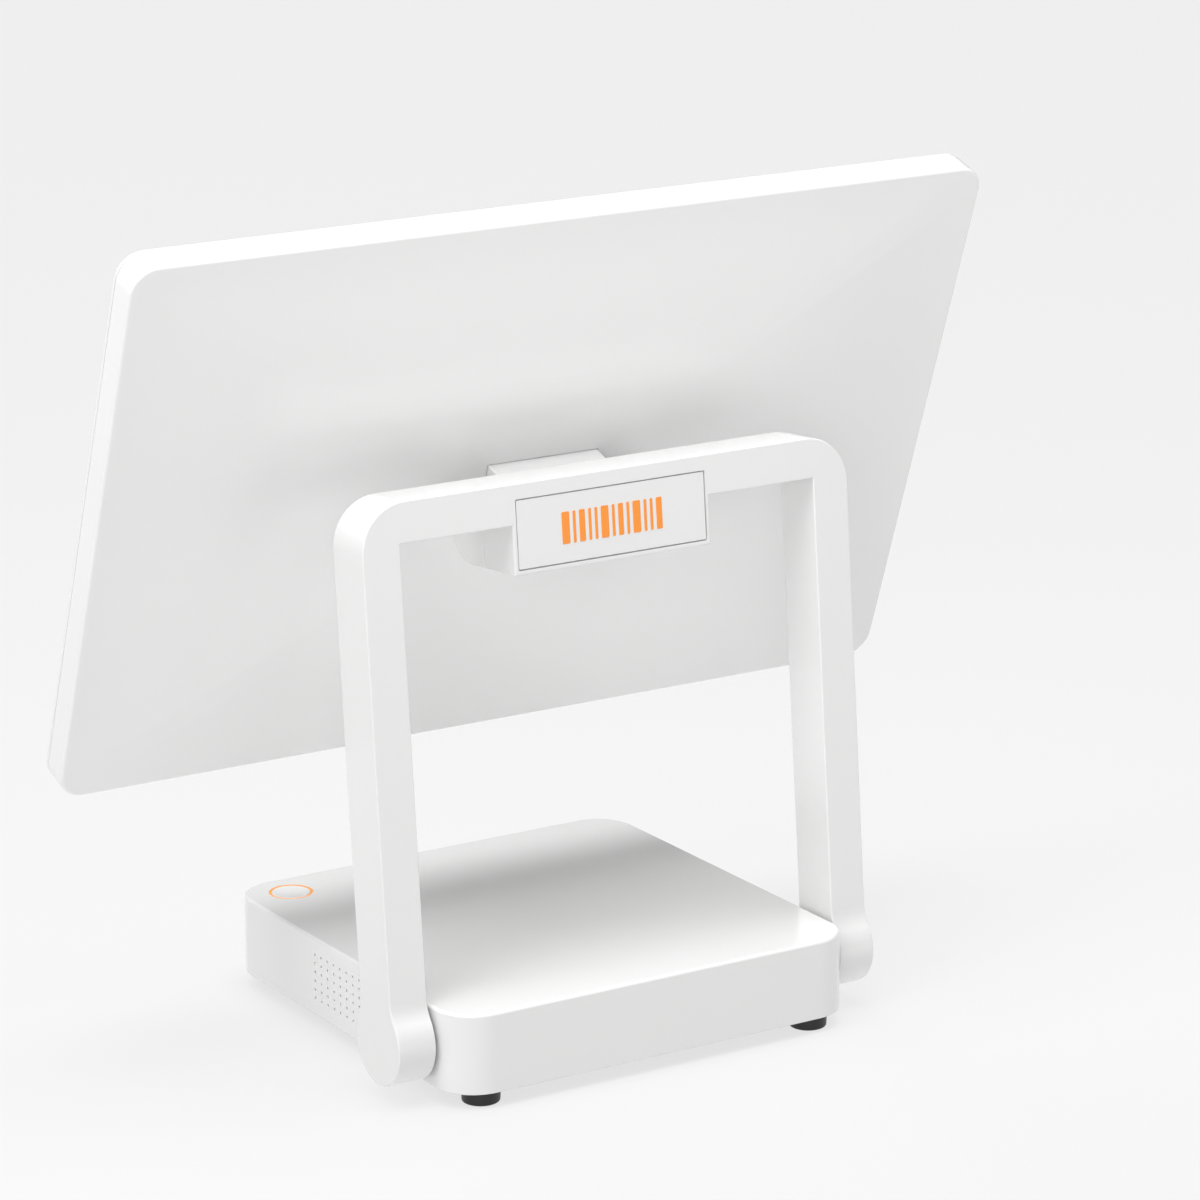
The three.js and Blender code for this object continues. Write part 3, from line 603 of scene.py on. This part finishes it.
PLATE_TOP = 8.7 * MM
PLATE_EDGE = 0.4 * MM
SLOT_SIZE = (3 * MM, 34 * MM)
SLOT_COLUMNS = 9
SLOT_FIRST = -40 * MM
SLOT_PITCH = 10 * MM
SLOT_ROW = 24 * MM
LABEL_SIZE = (58 * MM, 22 * MM)
LABEL_Y = -62 * MM
LABEL_DEPTH = 0.4 * MM
SCREWS = [f"base_screw_{end}_{side}" for end in ("front", "rear") for side in ("left", "right")]
SCREW_HEAD = 2.9 * MM
SCREW_HEAD_HEIGHT = 1.3 * MM
SCREW_SHANK = 1.5 * MM
SCREW_HOLE = 1.8 * MM
SCREW_SINK = 1.6 * MM
CROSS_LONG, CROSS_SHORT, CROSS_DEPTH = 1.7 * MM, 0.42 * MM, 0.8 * MM


def vent_slots(bottom, top):
    """Two rows of long slots under the mainboard, cut right through the plate."""
    slots = []
    for row in (-1, 1):
        for column in range(SLOT_COLUMNS):
            centre = (SLOT_FIRST + SLOT_PITCH * column, row * SLOT_ROW)
            outline = rounded(*SLOT_SIZE, SLOT_SIZE[0] / 2, 6, centre)
            slots.append(prism("slot", outline, "Z", bottom - MM, top + MM))
    return merged("vent_slots", slots)


def make_bottom_plate(black):
    low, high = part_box("base_bottom_plate")
    inset = BASE_WALL + GAP
    rings = [base_ring(inset + PLATE_EDGE, low.z), base_ring(inset, low.z + PLATE_EDGE)]
    rings.append(base_ring(inset, PLATE_TOP))
    plate = loft("bottom_plate", rings)
    tools = [vent_slots(low.z, PLATE_TOP)]
    for node in SCREWS:
        a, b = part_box(node)
        x, y = (a.x + b.x) / 2, (a.y + b.y) / 2
        tools.append(prism("counterbore", circle(x, y, SCREW_HEAD + GAP, 40), "Z", 0, low.z + SCREW_SINK))
        tools.append(prism("pilot", circle(x, y, SCREW_HOLE, 24), "Z", 0, high.z))
    label = rounded(*LABEL_SIZE, 2 * MM, 6, (0, LABEL_Y))
    tools.append(prism("label_recess", label, "Z", 0, low.z + LABEL_DEPTH))
    boolean(plate, tools)
    finish_piece(plate, "base", black, ["base_bottom_plate"])


def make_base_screws(steel):
    for node in SCREWS:
        low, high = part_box(node)
        x, y, head = (low.x + high.x) / 2, (low.y + high.y) / 2, low.z
        profile = [(0, head), (SCREW_HEAD - 0.8 * MM, head), (SCREW_HEAD - 0.25 * MM, head + 0.2 * MM)]
        profile += [(SCREW_HEAD, head + 0.7 * MM), (SCREW_HEAD, head + SCREW_HEAD_HEIGHT)]
        profile += [(SCREW_SHANK, head + SCREW_HEAD_HEIGHT), (SCREW_SHANK, high.z - MM)]
        profile += [(0.6 * MM, high.z), (0, high.z)]
        screw = turned(node.replace("base_screw", "cross_screw"), profile, x, y, 36)
        depth = (head - MM, head + CROSS_DEPTH)
        cross = [slab("cross", (x - across, x + across), (y - along, y + along), depth)
                 for across, along in ((CROSS_LONG, CROSS_SHORT), (CROSS_SHORT, CROSS_LONG))]
        boolean(screw, cross)
        finish_piece(screw, "base", steel, [node])


# ---- Sockets ----

CONTACT_THICK = 0.25 * MM
CONTACT_PITCH = 1.02 * MM
LATCH = 1.5 * MM
NETWORK_MOUTH, NETWORK_SILL, NETWORK_CONTACTS = (11.8 * MM, 8.2 * MM), 2.2 * MM, 8
DRAWER_MOUTH, DRAWER_SILL, DRAWER_CONTACTS = (9.8 * MM, 6.8 * MM), 2 * MM, 6
USB_MOUTH = (12.5 * MM, 5.1 * MM)
USB_TONGUE_HALF = 5.6 * MM
USB_CONTACTS, USB_CONTACT_PITCH, USB_CONTACT_WIDTH = 4, 2.3 * MM, 1.1 * MM
POWER_BORE, POWER_PIN = 3.2 * MM, MM


def wall_box(node):
    """A socket's middle and size along Y and Z, and its mouth and back along X."""
    low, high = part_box(node)
    return (low.y + high.y) / 2, (low.z + high.z) / 2, high.y - low.y, high.z - low.z, low.x, high.x


def wires(name, count, pitch, y, z, x, width=0.45 * MM):
    """A row of flat contacts that run inwards from the mouth."""
    first = y - pitch * (count - 1) / 2
    rows = []
    for i in range(count):
        middle = first + pitch * i
        rows.append(slab("wire", x, (middle - width / 2, middle + width / 2), (z, z + CONTACT_THICK)))
    return merged(name, rows)


def make_modular_jack(node, name, material, mouth, sill, contacts, gold):
    """A network or drawer jack: a stepped mouth for the plug's latch, and a row of spring contacts."""
    y, z, width, height, front, back = wall_box(node)
    low = z - height / 2 + sill
    body = prism(name, rounded(width, height, 0.5 * MM, 4, (y, z)), "X", front, back)
    bevel(body, 0.25 * MM, 2)
    wide, high = mouth
    deep = (front - MM, front + 12 * MM)
    tools = [slab("mouth", deep, (y - wide / 2, y + wide / 2), (low + LATCH, low + high)),
             slab("latch", deep, (y - wide / 4, y + wide / 4), (low, low + high / 2))]
    boolean(body, tools)
    finish_piece(body, "base", material, [node])
    pins = wires(name + "_contacts", contacts, CONTACT_PITCH, y, low + high - 0.6 * MM,
                 (front + 1.5 * MM, front + 11 * MM))
    finish_piece(pins, "base", gold)


def make_usb_port(node, number, shell_metal, black, gold):
    y, z, width, height, front, back = wall_box(node)
    name = f"usb_socket_{number}"
    body = prism(name, rounded(width, height, 0.7 * MM, 5, (y, z)), "X", front, back)
    bevel(body, 0.2 * MM, 2)
    mouth = rounded(*USB_MOUTH, 0.4 * MM, 4, (y, z))
    boolean(body, [prism("mouth", mouth, "X", front - MM, front + 13 * MM)])
    finish_piece(body, "base", shell_metal, [node])
    tongue = slab(name + "_tongue", (front + 1.5 * MM, front + 12.8 * MM),
                  (y - USB_TONGUE_HALF, y + USB_TONGUE_HALF), (z + 0.2 * MM, z + 2 * MM))
    bevel(tongue, 0.2 * MM, 2)
    finish_piece(tongue, "base", black)
    pins = wires(name + "_contacts", USB_CONTACTS, USB_CONTACT_PITCH, y, z - 0.05 * MM,
                 (front + 2.5 * MM, front + 12 * MM), USB_CONTACT_WIDTH)
    finish_piece(pins, "base", gold)


def make_dc_jack(black, shell_metal):
    y, z, width, height, front, back = wall_box("dc_jack")
    body = prism("power_inlet", rounded(width, height, 0.6 * MM, 4, (y, z)), "X", front, back)
    bevel(body, 0.25 * MM, 2)
    boolean(body, [prism("bore", circle(y, z, POWER_BORE, 40), "X", front - MM, front + 9 * MM)])
    finish_piece(body, "base", black, ["dc_jack"])
    pin = prism("power_inlet_pin", circle(y, z, POWER_PIN, 24), "X", front + MM, front + 8.9 * MM)
    bevel(pin, 0.3 * MM, 2)
    finish_piece(pin, "base", shell_metal)


# ---- Arch ----

ARCH_HALF = 109.475 * MM
LEG_WIDTH = 16.2 * MM
ARCH_DEPTH = 23.14 * MM
ARCH_TOP = 208.9 * MM
BAR_BOTTOM = 192.8 * MM
ARCH_CORNER = 19 * MM
BLOCK_HALF = 44.2 * MM
BLOCK_BOTTOM = 173.4 * MM
DISC = 16.75 * MM
BLEND = 14.7 * MM
ARCH_EDGE = 0.6 * MM
BLANK_FOOT = -30 * MM
BLANK_HALF_DEPTH, BLANK_HALF_WIDTH = 50 * MM, 130 * MM
ARCH_WALL = 2.4 * MM
CHANNEL_BOTTOM = 20 * MM
CHANNEL_DEPTH = 2.5 * MM
COVER_THICK = 2.2 * MM
SLOT_HALF = 25.6 * MM
ROOM_Z = (176 * MM, 200.7 * MM)
WINDOW_BOTTOM = 170 * MM
SHAFT_SPAN = (88 * MM, 102 * MM)
SHAFT_BORE = 5.4 * MM
NAMEPLATE_SIZE = (84.6 * MM, 26.7 * MM)
NAMEPLATE_Z = 188.95 * MM
NAMEPLATE_SEAM = 0.45 * MM
NAMEPLATE_RECESS = 1.5 * MM
NAMEPLATE_BACK, NAMEPLATE_SINK = 1.3 * MM, 0.15 * MM  # in from the crossbar's rear face
BAR_BACK, BAR_SINK = 0.2 * MM, 0.03 * MM
BARCODE = (2.6, 1.2, 1.2, 3.4, 1.2, 2.2, 1.2, 3.4, 1.2, 1.2, 2.6, 1.2, 3.4)  # widths of the bars, mm
BARCODE_SPACE = 1.6
BARCODE_HEIGHT = 12.4 * MM


def arch_outline(inset, foot):
    """The arch seen from behind, (x, z) points, drawn smaller by the inset."""
    outer, inner = ARCH_HALF - inset, ARCH_HALF - LEG_WIDTH + inset
    bar, top = BAR_BOTTOM + inset, ARCH_TOP - inset
    half, block = BLOCK_HALF - inset, BLOCK_BOTTOM + inset
    radius = ARCH_CORNER - inset
    points = [(-outer, foot), (-inner, foot), (-inner, bar), (-half, bar), (-half, block), (half, block),
              (half, bar), (inner, bar), (inner, foot), (outer, foot)]
    points += arc(outer - radius, top - radius, radius, 0, math.pi / 2, 20)
    points += arc(radius - outer, top - radius, radius, math.pi / 2, math.pi, 20)
    return points


def leg_outline():
    """The leg seen from the side, (y, z) points: straight faces that blend into the hinge disc."""
    half = ARCH_DEPTH / 2
    reach = DISC + BLEND
    blend_y = half + BLEND
    blend_z = math.sqrt(reach ** 2 - blend_y ** 2)
    angle = math.atan2(blend_z, blend_y)
    top = ARCH_TOP + 5 * MM
    right = arc(blend_y, blend_z, BLEND, math.pi, math.pi + angle, 14)
    disc = arc(0, 0, DISC, angle, -math.pi - angle, 72)
    left = arc(-blend_y, blend_z, BLEND, -angle, 0, 14)
    outline = [(half, top), *right, *disc[1:-1], *left, (-half, top)]
    return list(reversed(outline))


def make_arch(white):
    half = ARCH_DEPTH / 2
    outline = arch_outline(0, BLANK_FOOT)
    arch = prism("arch", swap(outline), "Y", -BLANK_HALF_DEPTH, BLANK_HALF_DEPTH)
    side = prism("side", leg_outline(), "X", -BLANK_HALF_WIDTH, BLANK_HALF_WIDTH)
    boolean(arch, [side], "INTERSECT")
    weld(arch)
    bevel(arch, ARCH_EDGE, 3)
    outline = arch_outline(ARCH_WALL, CHANNEL_BOTTOM)
    channel = prism("channel", swap(outline), "Y", -half - MM, -half + CHANNEL_DEPTH)
    room = slab("room", (-SLOT_HALF, SLOT_HALF), (-half - MM, half - ARCH_WALL), ROOM_Z)
    width, height = (size + 2 * NAMEPLATE_SEAM for size in NAMEPLATE_SIZE)
    outline = rounded(width, height, 0.8 * MM, 5, (0, NAMEPLATE_Z))
    recess = prism("recess", swap(outline), "Y", half - NAMEPLATE_RECESS, half + MM)
    holes = [prism("hole", circle(0, 0, SHAFT_BORE), "X", *mirrored(side, *SHAFT_SPAN)) for side in (-1, 1)]
    boolean(arch, [channel, room, recess, *holes])
    finish_piece(arch, "stand", white, ["stand_frame"], STAND_FRAME)


def make_arch_cover(white):
    half = ARCH_DEPTH / 2
    outline = arch_outline(ARCH_WALL + GAP, CHANNEL_BOTTOM + GAP)
    cover = prism("arch_cover", swap(outline), "Y", -half, -half + COVER_THICK)
    bevel(cover, 0.3 * MM, 2)
    boolean(cover, [slab("window", (-SLOT_HALF, SLOT_HALF), (-half - MM, 0), (WINDOW_BOTTOM, ROOM_Z[1]))])
    finish_piece(cover, "stand", white, ["stand_front_cover"], STAND_FRAME)


def make_nameplate(white):
    half = ARCH_DEPTH / 2
    outline = rounded(*NAMEPLATE_SIZE, 0.6 * MM, 5, (0, NAMEPLATE_Z))
    plate = prism("nameplate_panel", swap(outline), "Y", half - NAMEPLATE_BACK, half - NAMEPLATE_SINK)
    bevel(plate, 0.2 * MM, 2)
    finish_piece(plate, "stand", white, ["nameplate"], STAND_FRAME)


def make_mark(orange):
    """A row of plain printed bars, seated in the nameplate's face and a little proud of it."""
    half = ARCH_DEPTH / 2
    x = -(sum(BARCODE) + BARCODE_SPACE * (len(BARCODE) - 1)) / 2
    bars = []
    for width in BARCODE:
        centre = ((x + width / 2) * MM, NAMEPLATE_Z)
        outline = rounded(width * MM, BARCODE_HEIGHT, 0.45 * MM, 4, centre)
        bars.append(prism("bar", swap(outline), "Y", half - BAR_BACK, half - BAR_SINK))
        x += width + BARCODE_SPACE
    mark = merged("printed_bars", bars)
    finish_piece(mark, "stand", orange, ["nameplate_mark"], STAND_FRAME)


# ---- Hinge block and neck ----

HOUSING = 15 * MM
HOUSING_WALL = 2.2 * MM
HOUSING_EDGE = 0.8 * MM
HOUSING_SEAM = 0.25 * MM
CHEEK_END = 42 * MM
HINGE_SHAFT_HALF = 30 * MM
HINGE_SHAFT_HOLE = 3.4 * MM
HINGE_MOUTH = [(0, 0), (20, 0), (20, 60), (-60, 60), (-60, -34), (-22, -34)]  # y, z, mm
OPEN_END = 30 * MM  # past the housing's open side
NECK_HALF = 25 * MM
NECK_RADIUS = 10.7 * MM
NECK_FRONT = -27 * MM
NECK_WALL = 2 * MM
NECK_SHAFT_HOLE = 3.3 * MM
HINGE_IN_STAND = STAND_FRAME.inverted() @ TILT_PIVOT
HINGE_FRAME = STAND_FRAME @ Matrix.Translation(HINGE_IN_STAND)


def d_outline(radius, rear):
    return [(rear, -radius), (rear, radius), *arc(0, 0, radius, math.pi / 2, 1.5 * math.pi, 32)]


def make_hinge_cover(white):
    rear = -ARCH_DEPTH / 2 - HOUSING_SEAM - HINGE_IN_STAND.y
    shell = prism("hinge_housing", d_outline(HOUSING, rear), "X", -BLOCK_HALF, BLOCK_HALF)
    bevel(shell, HOUSING_EDGE, 3)
    inner = d_outline(HOUSING - HOUSING_WALL, OPEN_END)
    cheek = (SLOT_HALF + HOUSING_WALL, CHEEK_END)
    tools = [prism("room", inner, "X", *mirrored(side, *cheek)) for side in (-1, 1)]
    tools.append(prism("middle", inner, "X", -SLOT_HALF, SLOT_HALF))
    mouth = [(y * MM, z * MM) for y, z in HINGE_MOUTH]
    tools.append(prism("mouth", mouth, "X", -SLOT_HALF, SLOT_HALF))
    tools.append(prism("shaft_hole", circle(0, 0, HINGE_SHAFT_HOLE, 32), "X",
                       -HINGE_SHAFT_HALF, HINGE_SHAFT_HALF))
    boolean(shell, tools)
    finish_piece(shell, "stand", white, ["hinge_front_cover"], HINGE_FRAME)


def neck_outline(radius, front):
    return [(front, -radius), *arc(0, 0, radius, -math.pi / 2, math.pi / 2, 40), (front, radius)]


def make_neck(white):
    neck = prism("neck", neck_outline(NECK_RADIUS, NECK_FRONT), "X", -NECK_HALF, NECK_HALF)
    bevel(neck, 0.6 * MM, 3)
    inner = neck_outline(NECK_RADIUS - NECK_WALL, NECK_FRONT - MM)
    room = prism("room", inner, "X", NECK_WALL - NECK_HALF, NECK_HALF - NECK_WALL)
    hole = prism("hole", circle(0, 0, NECK_SHAFT_HOLE, 32), "X", -HINGE_SHAFT_HALF, HINGE_SHAFT_HALF)
    boolean(neck, [room, hole])
    finish_piece(neck, "display", white, ["neck_cover"], DISPLAY_FRAME)


# ---- Display ----

DISPLAY_WIDTH, DISPLAY_HEIGHT = 380 * MM, 234.9 * MM
DISPLAY_CORNER = 11 * MM
DISPLAY_FRONT, DISPLAY_TRIM, DISPLAY_BACK = -43.1 * MM, 2.3 * MM, -28.8 * MM
DISPLAY_WALL = 2.2 * MM
BACK_EDGE = 1.3 * MM
RIM = 4.5 * MM
CROWN_RISE = 6 * MM
CROWN_REACH = 34 * MM
CROWN_POWER = 1.4
CROWN_RINGS = 40
INNER_RINGS = 32  # the innermost rings of the crown, which its inside repeats
TRIM_WIDTH = 1.8 * MM
TRIM_ROUND = 1.4 * MM
TRIM_INNER_EDGE, TRIM_BACK_EDGE = 0.2 * MM, 0.15 * MM
GLASS_INSET, GLASS_THICK, GLASS_SETBACK, GLASS_EDGE = 2.1 * MM, 1.8 * MM, 0.1 * MM, 0.4 * MM


def display_ring(inset, y, steps=16):
    radius = max(DISPLAY_CORNER - inset, 0.5 * MM)
    width, height = DISPLAY_WIDTH - 2 * inset, DISPLAY_HEIGHT - 2 * inset
    outline = rounded(width, height, radius, steps, (0, DISPLAY_CENTRE))
    return [(x, y, z) for x, z in reversed(outline)]


def swell(inset):
    """How much of its full height the crown has at a distance in from one edge of the cover."""
    return 1 - math.exp(-((max(inset - RIM, 0) / CROWN_REACH) ** CROWN_POWER))


def crown(x, z):
    """How far the back cover stands out at a point: a flat rim, then a wide soft pillow."""
    across = swell(DISPLAY_WIDTH / 2 - abs(x))
    up = swell(DISPLAY_HEIGHT / 2 - abs(z - DISPLAY_CENTRE))
    return CROWN_RISE * across * up


def crowned_ring(share, lift, inset=0.0):
    """A ring of the cover's outline, scaled about its centre and laid on the crown."""
    points = []
    for x, _, z in display_ring(BACK_EDGE + inset, 0):
        x, z = x * share, DISPLAY_CENTRE + (z - DISPLAY_CENTRE) * share
        points.append((x, DISPLAY_BACK + lift + crown(x, z), z))
    return points


def make_rear_cover(white):
    """The cover's skin, from the middle of its inside, round the rim, to the middle of its crown.

    The crown's rings crowd towards the rim, where it curves most.
    """
    low = DISPLAY_FRONT + DISPLAY_TRIM + GAP
    shares = [1 - 0.97 * (i / CROWN_RINGS) ** 1.7 for i in range(1, CROWN_RINGS + 1)]
    inner = [crowned_ring(share, -DISPLAY_WALL, DISPLAY_WALL) for share in reversed(shares[-INNER_RINGS:])]
    inner += [display_ring(DISPLAY_WALL, DISPLAY_BACK - DISPLAY_WALL), display_ring(DISPLAY_WALL, low)]
    side = [display_ring(0.25 * MM, low), display_ring(0, low + 0.25 * MM)]
    edge = arc(-BACK_EDGE, DISPLAY_BACK - BACK_EDGE, BACK_EDGE, 0, math.pi / 2, 6)
    side += [display_ring(-inset, y) for inset, y in edge[:-1]]
    outer = [crowned_ring(share, 0) for share in shares]
    cover = loft("back_cover", inner + side + [display_ring(BACK_EDGE, DISPLAY_BACK)] + outer)
    hole = slab("neck_hole", (-NECK_HALF - GAP, NECK_HALF + GAP), (-40 * MM, -10 * MM),
                (-NECK_RADIUS - GAP, NECK_RADIUS + GAP))
    boolean(cover, [hole])
    finish_piece(cover, "display", white, ["rear_cover"], DISPLAY_FRAME, 40)


def make_trim(white):
    y0, y1 = DISPLAY_FRONT, DISPLAY_FRONT + DISPLAY_TRIM
    rings = [display_ring(TRIM_WIDTH, y1), display_ring(TRIM_WIDTH, y0 + TRIM_INNER_EDGE)]
    rings.append(display_ring(TRIM_WIDTH - TRIM_INNER_EDGE, y0))
    for inset, y in arc(TRIM_ROUND, y0 + TRIM_ROUND, TRIM_ROUND, 1.5 * math.pi, math.pi, 6):
        rings.append(display_ring(inset, y))
    rings += [display_ring(0, y1 - TRIM_BACK_EDGE), display_ring(TRIM_BACK_EDGE, y1)]
    count = len(rings[0])
    vertices = [point for ring in rings for point in ring]
    faces = []
    for level in range(len(rings)):
        after = (level + 1) % len(rings)
        for i in range(count):
            j = (i + 1) % count
            faces.append((level * count + i, level * count + j, after * count + j, after * count + i))
    trim = mesh_object("screen_trim", vertices, faces)
    finish_piece(trim, "display", white, ["front_trim"], DISPLAY_FRAME)


def make_glass(screen):
    y = DISPLAY_FRONT + GLASS_SETBACK
    rings = [display_ring(GLASS_INSET + GLASS_EDGE, y), display_ring(GLASS_INSET, y + GLASS_EDGE)]
    rings.append(display_ring(GLASS_INSET, y + GLASS_THICK))
    glass = loft("cover_glass", rings)
    finish_piece(glass, "display", screen, ["touch_glass"], DISPLAY_FRAME)


# ---- Assembly ----

set_camera()
set_studio()

# One white plastic in two copies. This display copy is made lighter, which paints extra light onto the display's
# back.
white = moulded("white_plastic", (0.88, 0.88, 0.878), 0.26, share=0.004, coat=0.5)
# This copy of the same white is made darker for the base and arch, which paints shade onto them.
shaded_body_white = moulded("white_body_plastic_shaded", (0.81, 0.81, 0.808), 0.24, share=0.004, coat=0.6)
orange_ring = glowing("orange_light_ring", (1.0, 0.36, 0.05), (1.0, 0.4, 0.05), 0.1)
orange_print = moulded("orange_print", (1.0, 0.32, 0.045), 0.45, share=0.03)
rubber = moulded("foot_rubber", (0.008, 0.008, 0.009), 0.42, 1800, 0.03 * MM, 0.1)
screen = screen_material()
black = moulded("black_plastic", (0.03, 0.03, 0.033), 0.5, 2200, 0.03 * MM, 0.08)
steel = brushed("steel", (0.56, 0.57, 0.58), 0.35)
shell_metal = brushed("connector_shell", (0.68, 0.68, 0.66), 0.28)
gold = brushed("gold_contacts", (0.83, 0.6, 0.22), 0.3)
nylon = moulded("nylon", (0.05, 0.05, 0.05), 0.5)
board = moulded("circuit_board", (0.03, 0.16, 0.09), 0.4, 900, 0.03 * MM, 0.1)
aluminium = brushed("aluminium", (0.72, 0.73, 0.74), 0.35)

make_base_cover(shaded_body_white)
make_button(shaded_body_white)
make_light_ring(orange_ring)
make_feet(rubber)
make_bottom_plate(black)
make_base_screws(steel)
make_modular_jack("lan_port", "network_jack", shell_metal,
                  NETWORK_MOUTH, NETWORK_SILL, NETWORK_CONTACTS, gold)
make_modular_jack("drawer_port", "drawer_jack", black,
                  DRAWER_MOUTH, DRAWER_SILL, DRAWER_CONTACTS, gold)
make_usb_port("usb_port_1", 1, shell_metal, black, gold)
make_usb_port("usb_port_2", 2, shell_metal, black, gold)
make_dc_jack(black, shell_metal)
make_arch(shaded_body_white)
make_arch_cover(shaded_body_white)
make_nameplate(shaded_body_white)
make_mark(orange_print)
make_hinge_cover(shaded_body_white)
make_neck(white)
make_rear_cover(white)
make_trim(white)
make_glass(screen)

SLOT_MATERIALS = {
    "white_plastic": white, "black_plastic": black, "steel": steel, "nylon": nylon,
    "circuit_board": board, "aluminium": aluminium, "connector_shell": shell_metal,
    "foot_rubber": rubber, "orange_light_ring": orange_ring, "orange_print": orange_print,
    "screen_glass": screen,
}
for entry in frame["record"]["subparts"]:
    node = frame["nodes"][entry["node"]]
    node.data.materials.clear()
    node.data.materials.append(SLOT_MATERIALS[entry["material_slot"]])
